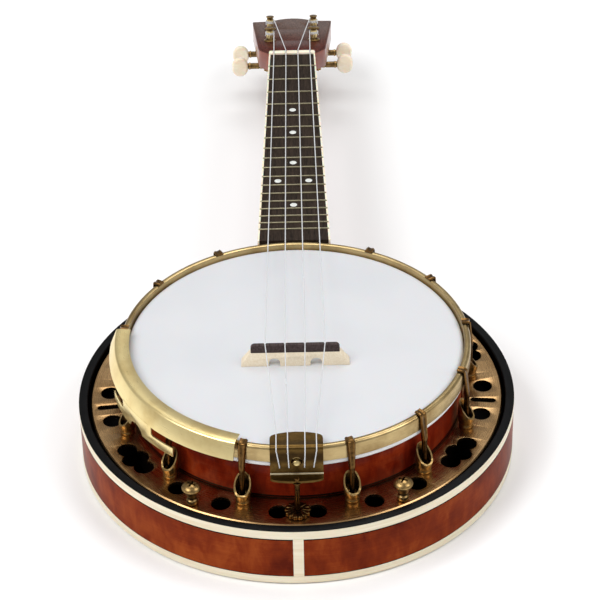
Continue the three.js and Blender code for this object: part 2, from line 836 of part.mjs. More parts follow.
// Armrest: a plate bent over the hoop, with a bracket below it that has two open fingers
function armrest() {
  const top = clawTop + clearance + armrestPlate;
  const innerRadius = hoopInnerRadius - armrestInset;
  const crest = hoopOuterRadius + armrestCrestReach;
  const skirt = hoopOuterRadius + armrestSkirtReach;
  const edge = top - armrestSkirtDrop;
  const cover = sweep([
    [innerRadius, top - armrestPlate],
    [innerRadius, top],
    [crest, top],
    [skirt + armrestPlate, edge],
    [skirt, edge],
    [crest - armrestPlate, top - armrestPlate],
  ].reverse(), -armrestHalfSpan, armrestHalfSpan, armrestSteps);
  const floor = top - armrestBracketDrop;
  const fingerTop = edge - armrestSlotHeight;
  const strip = (low, high, halfSpan) => sweep([
    [skirt, low],
    [skirt + armrestPlate, low],
    [skirt + armrestPlate, high],
    [skirt, high],
  ], -halfSpan, halfSpan, armrestSteps / 2);
  const root = strip(floor, edge + armrestPlate, armrestRootHalfSpan);
  const fingers = strip(floor, fingerTop, armrestFingerHalfSpan);
  const archSpan = armrestArchHalfSpan * skirt;
  const arch = bar(archSpan, 0, 0, -skirt / 2, skirt / 2, cutoutSides)
    .scale(1, armrestArchHeight / archSpan, 1)
    .rotateX(Math.PI / 2)
    .translate(0, -skirt, floor);
  return cut(join([cover, root, fingers]), [arch]).rotateZ(armrestMiddleAngle);
}

// Neck frames: one follows the fingerboard, the other the headstock's face
const neckFrame = new THREE.Group();
neckFrame.position.set(0, nutY, nutHeight);
neckFrame.rotation.x = -neckPitch;
instrument.add(neckFrame);
const headFrame = new THREE.Group();
headFrame.position.set(0, nutThickness + 3 * clearance - nutShift, -headStep);
headFrame.rotation.x = neckPitch - headTilt;
neckFrame.add(headFrame);
instrument.updateMatrixWorld(true);

const boardLength = (nutY - hoopOuterRadius - boardEndGap) / Math.cos(neckPitch);

/** Half the neck's width at a distance from the nut towards the pot. */
function halfWidthAt(distance) {
  return (boardNutWidth + ((boardEndWidth - boardNutWidth) * distance) / boardLength) / 2;
}

/** How far each fret lies from the nut, up to the tongue that is left free at the pot. */
function fretPlaces() {
  const places = [];
  const placeOf = (fret) => scaleLength * (1 - 2 ** (-fret / fretsPerOctave));
  for (let fret = 1; placeOf(fret) < boardLength - boardTongue; fret += 1) places.push(placeOf(fret));
  return places;
}

function fingerboard() {
  const outline = [[-boardLength, -boardThickness], [-nutShift, -boardThickness], [-nutShift, 0]];
  const half = fretWidth / 2;
  fretPlaces().forEach((place) => {
    outline.push([half - place, 0], [half * fretCrownShare - place, fretHeight]);
    outline.push([-half * fretCrownShare - place, fretHeight], [-half - place, 0]);
  });
  outline.push([-boardLength, 0]);
  const wide = slabAlong(outline, 0, boardEndWidth + overrun);
  const plan = [
    [-halfWidthAt(0), 0],
    [halfWidthAt(0), 0],
    [halfWidthAt(boardLength), -boardLength],
    [-halfWidthAt(boardLength), -boardLength],
  ];
  return common(wide, slab(plan, -boardThickness - overrun, boardThickness + 2 * overrun));
}

/** Half of a rounded section, from one edge of the neck under it to the other. */
function neckSection(distance, depth) {
  const top = -boardThickness - clearance;
  const ring = [];
  for (let k = 0; k <= neckSides; k += 1) {
    const angle = (k / neckSides) * Math.PI;
    const across = Math.sign(Math.cos(angle)) * Math.abs(Math.cos(angle)) ** roundingPower;
    const down = Math.sin(angle) ** roundingPower;
    ring.push(new THREE.Vector3(halfWidthAt(distance) * across, -distance, top - depth * down));
  }
  return ring;
}

function headOutline() {
  const right = [
    [boardNutWidth / 2, 0],
    [headEarHalfWidth, headEarReach],
    [headTopHalfWidth, headLength],
    [headCrownHalfWidth, headLength + headShoulderRise],
    [headCrownHalfWidth / 2, headLength + headCrown - headShoulderRise],
    [0, headLength + headCrown],
  ];
  const left = right.slice(0, -1).reverse().map(([x, y]) => [-x, y]);
  return [...right, ...left];
}

/** Upright bores through the headstock for the four posts, in the head frame. */
function postBores(low, high) {
  return postPlaces.flatMap((y) => [-postSpread, postSpread].map((x) => (
    bar(postRadius + clearance, x, y, low, high, postSides)
  )));
}

function neck() {
  const heelTop = nutHeight + Math.tan(neckPitch) * boardLength - boardThickness - clearance;
  const heelDepth = heelTop - backThickness - heelFloorGap;
  const depthAt = (distance) => {
    const share = Math.min(distance / boardLength, 1);
    const plain = neckNutDepth + (neckHeelDepth - neckNutDepth) * share;
    const along = Math.max(distance - boardLength + heelLength, 0) / heelLength;
    return plain + (heelDepth - neckHeelDepth) * Math.min(along, 1) ** heelPower;
  };
  const stations = [boardLength + heelLength / 2];
  const heelShares = [0, 0.1, 0.22, 0.36, 0.54, 0.76, 1];
  heelShares.forEach((share) => stations.push(boardLength - share * heelLength));
  const shaft = boardLength - heelLength;
  stations.push(shaft / 2, 0, nutShift - nutThickness - clearance, nutShift - nutThickness - headEarReach);
  const rings = stations.map((distance) => neckSection(distance, depthAt(distance)));
  const woodTop = -veneerThickness - clearance;
  const head = slab(headOutline(), woodTop - headThickness, headThickness).applyMatrix4(headFrame.matrix);
  const nutEnd = nutThickness + 2 * clearance - nutShift;
  const above = block(-headTopHalfWidth, headTopHalfWidth, -nutShift - nutThickness, nutEnd,
    -boardThickness - clearance, headThickness);
  const bores = postBores(woodTop - headThickness - overrun, overrun);
  bores.forEach((bore) => bore.applyMatrix4(headFrame.matrix));
  const shaped = cut(join([loft(rings), head]), [above, ...bores]).applyMatrix4(neckFrame.matrix);
  const dowelReach = rimRadius - rimWall - 2 * clearance;
  const dowel = block(-dowelWidth / 2, dowelWidth / 2, -dowelReach, hoopOuterRadius + clearance,
    dowelTop() - dowelHeight, dowelTop());
  return join([cut(shaped, [potEnvelope()]), dowel]);
}

/** The space that the pot takes up, with a clearance, which the heel is cut to fit. */
function potEnvelope() {
  const under = backThickness;
  const ledge = rimRadius + ledgeWidth + clearance;
  const wall = rimRadius + clearance;
  const collar = skirtInnerRadius + fleshHoopWidth + clearance;
  const hoop = hoopOuterRadius + clearance;
  return turned([
    [0, under],
    [ledge, under],
    [ledge, flangeFloor + clearance],
    [wall, flangeFloor + clearance],
    [wall, collarFloor - clearance],
    [collar, collarFloor - clearance],
    [collar, hoopFloor - clearance],
    [hoop, hoopFloor - clearance],
    [hoop, hoopTop + boardThickness + overrun],
    [0, hoopTop + boardThickness + overrun],
  ]);
}

function stringNut() {
  const outline = [[-boardNutWidth / 2, -boardThickness], [boardNutWidth / 2, -boardThickness]];
  outline.push([boardNutWidth / 2, nutRise]);
  [...nutPlaces].reverse().forEach((x) => {
    const half = nutSlotWidth / 2;
    outline.push([x + half, nutRise], [x + half, nutRise - nutSlotDepth]);
    outline.push([x - half, nutRise - nutSlotDepth], [x - half, nutRise]);
  });
  outline.push([-boardNutWidth / 2, nutRise]);
  return slabAcross(outline, clearance + nutThickness / 2 - nutShift, nutThickness);
}

function headVeneer() {
  const sheet = slab(headOutline(), -veneerThickness, veneerThickness);
  return cut(sheet, postBores(-veneerThickness - overrun, overrun));
}

// Tuners: a worm on the button's shaft turns a gear on the string post
const gearRadius = (gearTeeth * wormPitch) / (2 * Math.PI);
const wormOffset = gearRadius + wormRadius;
const headBack = -veneerThickness - clearance - headThickness;
const wormZ = headBack - clearance - tunerPlate - wormDepth;
const threadHalfLength = (threadTurns * wormPitch) / 2;

function tunerPlateAndEars() {
  const floor = headBack - clearance - tunerPlate;
  const half = tunerPlateHalfWidth;
  const corner = half / 2;
  const plate = slab([
    [-half, -tunerPlateNear + corner],
    [-half + corner, -tunerPlateNear],
    [half - corner, -tunerPlateNear],
    [half, -tunerPlateNear + corner],
    [half, tunerPlateFar],
    [-half, tunerPlateFar],
  ], floor, tunerPlate);
  const earPlace = threadHalfLength + clearance + earThickness / 2;
  const ears = [-earPlace, earPlace].map((x) => block(
    x - earThickness / 2, x + earThickness / 2,
    wormOffset - earHalfWidth, wormOffset + earHalfWidth,
    wormZ - earBelow, floor + tunerPlate / 2,
  ));
  const span = 2 * (earPlace + overrun);
  const bore = bar(journalRadius + clearance, 0, 0, -span / 2, span / 2, screwSides)
    .rotateY(Math.PI / 2).translate(0, wormOffset, wormZ);
  const hole = bar(postRadius + clearance, 0, 0, floor - overrun, floor + tunerPlate + overrun, postSides);
  return cut(join([plate, ...ears]), [bore, hole]);
}

function postAndGear() {
  const gearTop = wormZ + gearThickness / 2;
  const gearFloor = wormZ - gearThickness / 2;
  const waist = postRadius - clearance;
  const post = turned([
    [0, gearFloor - clearance],
    [postRadius, gearFloor - clearance],
    [postRadius, clearance],
    [bushRadius, clearance],
    [bushRadius, clearance + bushHeight / 2],
    [postRadius, clearance + bushHeight],
    [waist, wrapStartHeight - wrapPitch * wrapTurns],
    [waist, postHeight - postCapHeight],
    [postCapRadius, postHeight - postCapHeight / 2],
    [postCapRadius, postHeight],
    [0, postHeight],
  ], postSides);
  const outline = [];
  const step = (2 * Math.PI) / gearTeeth;
  const root = gearRadius - gearRootDrop;
  const tip = gearRadius + gearTipRise;
  for (let tooth = 0; tooth < gearTeeth; tooth += 1) {
    const middle = (tooth + 0.5) * step + Math.PI;
    outline.push(around(root, middle - (step * (1 - gearRootShare)) / 2));
    outline.push(around(tip, middle - (step * gearTipShare) / 2));
    outline.push(around(tip, middle + (step * gearTipShare) / 2));
    outline.push(around(root, middle + (step * (1 - gearRootShare)) / 2));
  }
  return join([post, slab(outline, gearFloor, gearTop - gearFloor)]);
}

/** The button's shaft: a right-hand worm thread between two journals, about the X axis. */
function wormShaft() {
  const core = wormRadius - threadHeight / 2 - clearance / 2;
  const rings = [];
  const ring = (x, radiusAt) => {
    const points = [];
    for (let k = 0; k < wormSides; k += 1) {
      const angle = (2 * Math.PI * k) / wormSides;
      const radius = radiusAt(angle);
      points.push(new THREE.Vector3(x, -radius * Math.cos(angle), -radius * Math.sin(angle)));
    }
    rings.push(points);
  };
  const plain = (x, radius) => ring(x, () => radius);
  const innerEnd = -threadHalfLength - 2 * clearance - earThickness;
  plain(innerEnd, journalRadius);
  plain(-threadHalfLength, journalRadius);
  const count = threadTurns * threadSteps;
  for (let step = 1; step < count; step += 1) {
    const x = -threadHalfLength + (step / count) * 2 * threadHalfLength;
    ring(x, (angle) => {
      const phase = (2 * Math.PI * x) / wormPitch - angle;
      return core + threadHeight * Math.max(Math.cos(phase), 0);
    });
  }
  const outerEar = threadHalfLength + 2 * clearance + earThickness;
  plain(threadHalfLength, journalRadius);
  plain(outerEar, journalRadius);
  plain(outerEar, shaftRadius);
  plain(shaftReach - postSpread + buttonBevel, shaftRadius);
  return loft(rings);
}

function button() {
  const length = buttonReach - shaftReach;
  const shape = new THREE.Shape(buttonShares.map(([x, z]) => (
    new THREE.Vector2(x * (length - 2 * buttonBevel), z * (buttonHalfHeight - buttonBevel))
  )));
  const bean = closed(new THREE.ExtrudeGeometry(shape, {
    depth: buttonThickness - 2 * buttonBevel,
    bevelEnabled: true,
    bevelThickness: buttonBevel,
    bevelSize: buttonBevel,
    bevelSegments: 1,
  }));
  return bean.rotateX(Math.PI / 2)
    .translate(shaftReach - postSpread + buttonBevel, buttonThickness / 2 - buttonBevel, buttonOffset);
}

function addTuners() {
  const plate = tunerPlateAndEars();
  const post = postAndGear();
  const shaftAndButton = join([wormShaft(), button()]);
  [['left', -1], ['right', 1]].forEach(([side, sign]) => {
    postPlaces.forEach((y, row) => {
      const label = `${side}_${row + 1}`;
      const place = new THREE.Group();
      place.position.set(sign * postSpread, y, 0);
      headFrame.add(place);
      add(`tuner_plate_${label}`, plate, agedBrass, place);
      add(`tuner_post_${label}`, post, agedBrass, place);
      const turning = add(`tuner_button_${label}`, shaftAndButton, ivoryPlastic, place);
      turning.position.set(0, wormOffset, wormZ);
      turning.rotation.y = sign > 0 ? 0 : Math.PI;
    });
  });
}

/** The least space between turns of a wound tube, measured between points that lie apart along it. */
function leastGap(points, diameter, apart) {
  let least = Infinity;
  for (let i = 0; i < points.length; i += 1) {
    for (let j = i + apart; j < points.length; j += 1) {
      least = Math.min(least, points[i].distanceTo(points[j]) - diameter);
    }
  }
  return least;
}

// Strings: from a knot behind the tailpiece, over the bridge and nut, to turns round a post
function stringRoute(index) {
  const sign = index < stringCount / 2 ? -1 : 1;
  const outer = index === 0 || index === stringCount - 1;
  const lift = stringRadius + clearance;
  const backY = -(tailOuterRadius + lift);
  const endX = tailEndPlaces[index];
  const frontX = tailFrontPlaces[index];
  const knot = tailKnotHeight();
  const points = [
    new THREE.Vector3(endX, -(tailOuterRadius - tailPlate - 2 * knotRadius), knot),
    new THREE.Vector3(endX, -(tailOuterRadius - tailPlate - knotRadius), knot),
    new THREE.Vector3(endX, -(tailOuterRadius - tailPlate - clearance), knot),
    new THREE.Vector3(endX, backY + stringRadius, knot),
    new THREE.Vector3(endX, backY, knot + stringRadius),
    new THREE.Vector3(frontX, backY, tailTop),
    new THREE.Vector3(frontX, backY + tailRidge, tailTop + lift + tailRidge / 2),
    new THREE.Vector3(frontX, -tailOuterRadius + tailFrontReach, tailTop + lift),
    new THREE.Vector3(bridgePlaces[index], saddleY, bridgeTopLine()),
  ];
  const neckPoint = (x, y, z) => new THREE.Vector3(x, y, z).applyMatrix4(neckFrame.matrix);
  const nutX = nutPlaces[index];
  const nutZ = nutRise - nutSlotDepth + lift;
  points.push(neckPoint(nutX, clearance - nutShift, nutZ));
  points.push(neckPoint(nutX, clearance + nutThickness - nutShift, nutZ));
  const post = new THREE.Vector2(sign * postSpread, postPlaces[outer ? 0 : 1]);
  const from = points[points.length - 1].clone().applyMatrix4(headFrame.matrixWorld.clone().invert());
  const toNut = new THREE.Vector2(from.x, from.y).sub(post);
  const wrapRadius = postRadius + clearance + stringRadius;
  const start = toNut.angle() - sign * Math.acos(wrapRadius / toNut.length());
  const count = Math.round(wrapTurns * wrapSteps);
  const wound = [];
  for (let step = 0; step <= count; step += 1) {
    const angle = start - (sign * step * 2 * Math.PI) / wrapSteps;
    const z = wrapStartHeight - (step * wrapPitch) / wrapSteps;
    wound.push(new THREE.Vector3(
      post.x + wrapRadius * Math.cos(angle),
      post.y + wrapRadius * Math.sin(angle),
      z,
    ));
  }
  const away = wound[count].clone().sub(wound[count - 1]).setLength(stringStub);
  wound.push(wound[count].clone().add(away));
  const gap = leastGap(wound, 2 * stringRadius, wrapSteps / 2);
  wound.forEach((point) => points.push(point.applyMatrix4(headFrame.matrixWorld)));
  return { points, gap };
}

function bridgeTopLine() {
  return headTop + bridgeHeight - bridgeSlotDepth + clearance + stringRadius;
}

function addStrings() {
  let least = Infinity;
  for (let index = 0; index < stringCount; index += 1) {
    const { points, gap } = stringRoute(index);
    least = Math.min(least, gap);
    const radiusAt = (i) => (i === 1 ? knotRadius : stringRadius);
    add(`string_${index + 1}`, tube(points, radiusAt, stringSides), nylon);
  }
  console.log(`least gap between the turns of a string: ${least.toFixed(2)} mm`);
}

// The whole instrument
add('resonator', resonatorShell(), mahogany);
add('edge_ring', edgeRing(), blackTrim);
add('top_binding', binding(topBindingFloor, topBindingTop), creamTrim);
add('bottom_binding', binding(bindingFloorGap, bottomBindingTop), creamTrim);
add('flange', flange(), agedBrass);
add('rim', rim(), rimWood);
add('drum_head', drumHead(), drumSkin);
add('tension_hoop', tensionHoop(), hoopBrass);
const hookShape = hook();
const shoeShape = shoe();
hookAngles.forEach((angle, i) => {
  addPair('hook', i + 1, hookShape, agedBrass, angle);
  addPair('shoe', i + 1, shoeShape, agedBrass, angle);
});
const screwShape = resonatorScrew();
screwAngles.forEach((angle, i) => addPair('resonator_screw', i + 1, screwShape, agedBrass, angle));
add('bridge', bridge(), mapleWood);
add('tailpiece', tailpiece(), agedBrass);
add('thumb_nut', thumbNut(), agedBrass);
add('armrest', armrest(), goldPlate);
add('neck', neck(), mahogany);
add('fingerboard', fingerboard(), darkBoard, neckFrame);
add('string_nut', stringNut(), ivoryPlastic, neckFrame);
add('head_veneer', headVeneer(), darkVeneer, headFrame);
addTuners();
addStrings();

export default instrument;
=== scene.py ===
"""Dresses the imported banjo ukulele.

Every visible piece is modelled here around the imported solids, in millimetres, and handed
over in metres. The instrument lies on its back: the drum is centred on the Z axis, the neck
points along +Y and the tailpiece is at -Y. Angles round the drum are counted from the tail.
"""

from __future__ import annotations

import logging
import math
from dataclasses import dataclass
from enum import Enum
from functools import cache, reduce
from typing import Sequence

import bmesh
import bpy
from mathutils import Matrix, Vector

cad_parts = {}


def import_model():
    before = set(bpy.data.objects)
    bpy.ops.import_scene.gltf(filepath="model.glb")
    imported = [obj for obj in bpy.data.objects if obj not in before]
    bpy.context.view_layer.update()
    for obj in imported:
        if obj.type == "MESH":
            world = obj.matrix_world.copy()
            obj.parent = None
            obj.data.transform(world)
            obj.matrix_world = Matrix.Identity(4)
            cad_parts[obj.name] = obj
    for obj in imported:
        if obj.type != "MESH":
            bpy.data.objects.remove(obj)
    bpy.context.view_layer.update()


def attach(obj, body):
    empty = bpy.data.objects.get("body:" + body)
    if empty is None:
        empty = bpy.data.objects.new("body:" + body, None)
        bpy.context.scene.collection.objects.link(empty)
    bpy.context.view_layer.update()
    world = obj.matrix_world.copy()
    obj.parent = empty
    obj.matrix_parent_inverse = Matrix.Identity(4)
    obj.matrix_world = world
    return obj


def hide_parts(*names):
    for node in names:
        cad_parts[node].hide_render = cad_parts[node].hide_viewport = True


Piece = bpy.types.Object
Socket = bpy.types.NodeSocket
Point = tuple[float, float, float]
Flat = tuple[float, float]

LOG = logging.getLogger("banjo_ukulele")
MM = 0.001
CLEARANCE = 0.3
ROOT = "instrument"
HOOK_ANGLES = (17.0, 43.5, 70.2, 97.6, 125.8, 152.7)
HOOK_CIRCLE = 107.15
SCREW_ANGLES = (30.25, 139.25)
SCREW_CIRCLE = 119.9
TAIL_ROD_CIRCLE = 113.8
HOOP_OUTER = 105.2
FLANGE_TOP = 37.6
POST_ROWS = (30.6, 63.4)
POST_SPREAD = 16.2
POST_BORE = 2.7
TAIL_PLACES = (-9.7, -4.4, 4.4, 9.7)
STRING_STEPS = (-1.5, -0.5, 0.5, 1.5)
BRIDGE_SPACING = 11.8
NUT_SPACING = 8.7
DOWEL_HALF = 7.0
DOWEL_FLOOR = 20.0
# An outline drawn across and along stands up along Y and Z, or along X and Z.
SIDEWAYS = Matrix(((0, 0, 1, 0), (1, 0, 0, 0), (0, 1, 0, 0), (0, 0, 0, 1)))
UPRIGHT = Matrix(((1, 0, 0, 0), (0, 0, 1, 0), (0, 1, 0, 0), (0, 0, 0, 1)))


class Side(Enum):
    """The two sides of the centre line, seen with the neck pointing away."""

    LEFT = -1
    RIGHT = 1

    @property
    def label(self) -> str:
        """The side's word in a node's name."""
        return self.name.lower()


class Keep(Enum):
    """What stays when one shape cuts another."""

    OUTSIDE = "DIFFERENCE"
    INSIDE = "INTERSECT"
    BOTH = "UNION"


def around(radius: float, degrees: float, height: float = 0.0) -> Point:
    """Finds a point round the drum, at an angle from the tail that is positive to the right."""
    turn = math.radians(degrees)
    return (radius * math.sin(turn), -radius * math.cos(turn), height)


def arc(radius: float, start: float, end: float, steps: int, centre: Flat = (0.0, 0.0)) -> list[Flat]:
    """Lists points along an arc.

    Args:
        radius: The arc's radius.
        start: First angle in degrees, from +X towards +Y.
        end: Last angle in degrees.
        steps: Number of steps between them.
        centre: The arc's centre.

    Returns:
        One more point than there are steps.
    """
    turns = [math.radians(start + (end - start) * step / steps) for step in range(steps + 1)]
    return [(centre[0] + radius * math.cos(t), centre[1] + radius * math.sin(t)) for t in turns]


def oblong(half: float, near: float, far: float, middle: float = 0.0) -> list[Flat]:
    """The outline of an oblong that reaches half its width to each side of its middle."""
    return [(middle - half, near), (middle + half, near), (middle + half, far), (middle - half, far)]


def at(*place: float) -> Matrix:
    """A shift to a place."""
    return Matrix.Translation(place)


def spun(degrees: float, axis: str = "Z") -> Matrix:
    """A turn about an axis."""
    return Matrix.Rotation(math.radians(degrees), 4, axis)


def deselect() -> None:
    """Leaves edit mode and selects nothing."""
    if bpy.context.object and bpy.context.object.mode != "OBJECT":
        bpy.ops.object.mode_set(mode="OBJECT")
    bpy.ops.object.select_all(action="DESELECT")


def pick(piece: Piece) -> None:
    """Selects one piece alone and makes it active.

    Args:
        piece: The piece.
    """
    deselect()
    piece.select_set(True)
    bpy.context.view_layer.objects.active = piece


def edit() -> None:
    """Enters edit mode with all of the active piece selected."""
    bpy.ops.object.mode_set(mode="EDIT")
    bpy.ops.mesh.select_mode(type="VERT")
    bpy.ops.mesh.select_all(action="SELECT")


def choose(first: int, last: int | None = None) -> None:
    """Adds a run of the edited mesh's points to what is selected, with the edges between them.

    Args:
        first: Index of the run's first point.
        last: Index after its last point, or None to run to the end.
    """
    data = bpy.context.object.data
    sketch = bmesh.from_edit_mesh(data)
    sketch.verts.ensure_lookup_table()
    for vertex in sketch.verts[first:last]:
        vertex.select_set(True)
    sketch.select_flush(True)
    bmesh.update_edit_mesh(data)


def begin(name: str) -> Piece:
    """Starts an empty piece in edit mode.

    Args:
        name: The piece's name.

    Returns:
        The piece.
    """
    deselect()
    bpy.ops.mesh.primitive_plane_add(size=1.0)
    piece = bpy.context.object
    piece.name = piece.data.name = name
    edit()
    bpy.ops.mesh.delete(type="VERT")
    return piece


def trace(points: Sequence[Sequence[float]], closed: bool = True) -> None:
    """Draws a line of edges through points by extruding one point, and leaves it selected.

    Args:
        points: The line's points.
        closed: Whether the last point is joined to the first.
    """
    bpy.ops.mesh.select_all(action="DESELECT")
    bpy.ops.mesh.primitive_plane_add(size=1.0)
    bpy.ops.mesh.merge(type="CENTER")
    bpy.ops.transform.translate(value=points[0])
    for before, after in zip(points, points[1:]):
        step = [b - a for a, b in zip(before, after)]
        bpy.ops.mesh.extrude_vertices_move(TRANSFORM_OT_translate={"value": step})
    if closed:
        choose(-len(points), 1 - len(points))
        bpy.ops.mesh.edge_face_add()
    choose(-len(points))


def sealed(doubles: bool = True) -> None:
    """Merges doubles, points all faces of the edited mesh out and leaves edit mode.

    Args:
        doubles: Whether points that meet are merged.
    """
    bpy.ops.mesh.select_all(action="SELECT")
    if doubles:
        bpy.ops.mesh.remove_doubles(threshold=0.001)
    bpy.ops.mesh.normals_make_consistent(inside=False)
    bpy.ops.object.mode_set(mode="OBJECT")


def turned(name: str, profile: Sequence[Flat], steps: int = 128) -> Piece:
    """Turns a profile about the Z axis.

    Args:
        name: The piece's name.
        profile: Points of radius and height, closed on itself or with both ends on the axis.
        steps: Facets round the turn.

    Returns:
        The turned piece, in object mode.
    """
    piece = begin(name)
    trace([(0.0, -radius, height) for radius, height in profile], closed=abs(profile[0][0]) >= 1e-6)
    bpy.ops.mesh.spin(steps=steps, angle=2.0 * math.pi, center=(0, 0, 0), axis=(0, 0, 1))
    sealed()
    return piece


def plate(name: str, outline: Sequence[Flat], floor: float, thickness: float) -> Piece:
    """Cuts a flat plate.

    Args:
        name: The piece's name.
        outline: Its outline, which isn't closed on its first point.
        floor: Height of the lower face.
        thickness: The plate's thickness.

    Returns:
        The plate, in object mode, with its faces pointing out.
    """
    piece = begin(name)
    trace([(x, y, floor) for x, y in outline])
    bpy.ops.mesh.edge_face_add()
    bpy.ops.mesh.extrude_region_move(TRANSFORM_OT_translate={"value": (0.0, 0.0, thickness)})
    sealed()
    return piece


def peg(radius: float, half: float, steps: int) -> Piece:
    """A round peg on the Z axis, half above the origin and half below it, to bore with."""
    return turned("peg", [(0.0, -half), (radius, -half), (radius, half), (0.0, half)], steps)


def lofted(name: str, rings: Sequence[Sequence[Point]]) -> Piece:
    """Bridges a row of closed rings into one skin with both ends closed.

    Args:
        name: The piece's name.
        rings: Rings of points, each with the same count.

    Returns:
        The piece, in object mode.
    """
    piece = begin(name)
    count = len(rings[0])
    for ring in rings:
        trace(ring)
    for first in range(0, (len(rings) - 1) * count, count):
        bpy.ops.mesh.select_all(action="DESELECT")
        choose(first, first + 2 * count)
        bpy.ops.mesh.bridge_edge_loops()
    for first in (0, (len(rings) - 1) * count):
        bpy.ops.mesh.select_all(action="DESELECT")
        choose(first, first + count)
        bpy.ops.mesh.edge_face_add()
    sealed(doubles=False)
    return piece


def applied(piece: Piece, kind: str, **settings: object) -> None:
    """Gives a piece a modifier with its settings, and applies it.

    Args:
        piece: The piece.
        kind: The modifier's type.
        settings: The modifier's settings.
    """
    pick(piece)
    step = piece.modifiers.new(kind.lower(), kind)
    for name, value in settings.items():
        setattr(step, name, value)
    bpy.ops.object.modifier_apply(modifier=step.name)


def rounded(piece: Piece, width: float, segments: int, angle: float) -> None:
    """Rounds the edges of a piece that are sharper than an angle in degrees."""
    limit = math.radians(angle)
    applied(piece, "BEVEL", width=width, segments=segments, limit_method="ANGLE", angle_limit=limit)


def carved(piece: Piece, tool: Piece, keep: Keep = Keep.OUTSIDE) -> None:
    """Cuts a piece with another closed shape, or joins that shape to it, and uses the shape up.

    Args:
        piece: The piece.
        tool: The other shape.
        keep: What stays of the two.
    """
    applied(piece, "BOOLEAN", operation=keep.value, solver="EXACT", use_self=keep is not Keep.BOTH,
            object=tool)
    bpy.data.objects.remove(tool, do_unlink=True)


def joined(name: str, pieces: Sequence[Piece]) -> Piece:
    """Joins several meshes into one object without welding them.

    Args:
        name: Name of the joined piece.
        pieces: The meshes.

    Returns:
        The joined piece.
    """
    deselect()
    for piece in pieces:
        piece.select_set(True)
    bpy.context.view_layer.objects.active = pieces[0]
    bpy.ops.object.join()
    pieces[0].name = name
    return pieces[0]


def drilled(piece: Piece, holes: Sequence[Point], low: float, high: float, steps: int = 24) -> None:
    """Drills upright round holes.

    Args:
        piece: The piece that is drilled.
        holes: The x, y and radius of each hole, none of which touch.
        low: Height that the holes start from.
        high: Height that they end at.
        steps: Facets round a hole.
    """
    drills = [plate("drill", arc(radius, 0.0, 360.0, steps, (x, y))[:-1], low, high - low)
              for x, y, radius in holes]
    carved(piece, joined("drills", drills))


def copied(piece: Piece, name: str) -> Piece:
    """Copies a piece with a mesh of its own.

    Args:
        piece: The piece.
        name: The copy's name.

    Returns:
        The copy.
    """
    twin = piece.copy()
    twin.data = piece.data.copy()
    twin.name = twin.data.name = name
    bpy.context.collection.objects.link(twin)
    return twin


def moved(piece: Piece, place: Matrix) -> Piece:
    """Moves a piece and puts its new place into its mesh.

    Args:
        piece: The piece.
        place: The matrix that moves it.

    Returns:
        The same piece.
    """
    pick(piece)
    piece.matrix_world = place
    bpy.ops.object.transform_apply(location=True, rotation=True, scale=True)
    return piece


def cord(name: str, points: Sequence[Vector], radius: float) -> Piece:
    """Runs a round tube along points, as a mesh.

    Args:
        name: The piece's name.
        points: Points along the tube's middle.
        radius: The tube's radius.

    Returns:
        The tube, in object mode.
    """
    curve = bpy.data.curves.new(name, "CURVE")
    curve.dimensions = "3D"
    curve.bevel_depth = radius
    curve.bevel_resolution = 3
    curve.use_fill_caps = True
    line = curve.splines.new("POLY")
    line.points.add(len(points) - 1)
    for spot, place in zip(line.points, points):
        spot.co = (*place, 1.0)
    tube = bpy.data.objects.new(name, curve)
    bpy.context.collection.objects.link(tube)
    pick(tube)
    bpy.ops.object.convert(target="MESH")
    edit()
    sealed()
    return bpy.context.object


def shade(red: float, green: float, blue: float) -> tuple[float, ...]:
    """A colour for a socket from screen values of 0 to 255."""
    parts = [value / 255.0 for value in (red, green, blue)]
    return (*[p / 12.92 if p <= 0.04045 else ((p + 0.055) / 1.055) ** 2.4 for p in parts], 1.0)


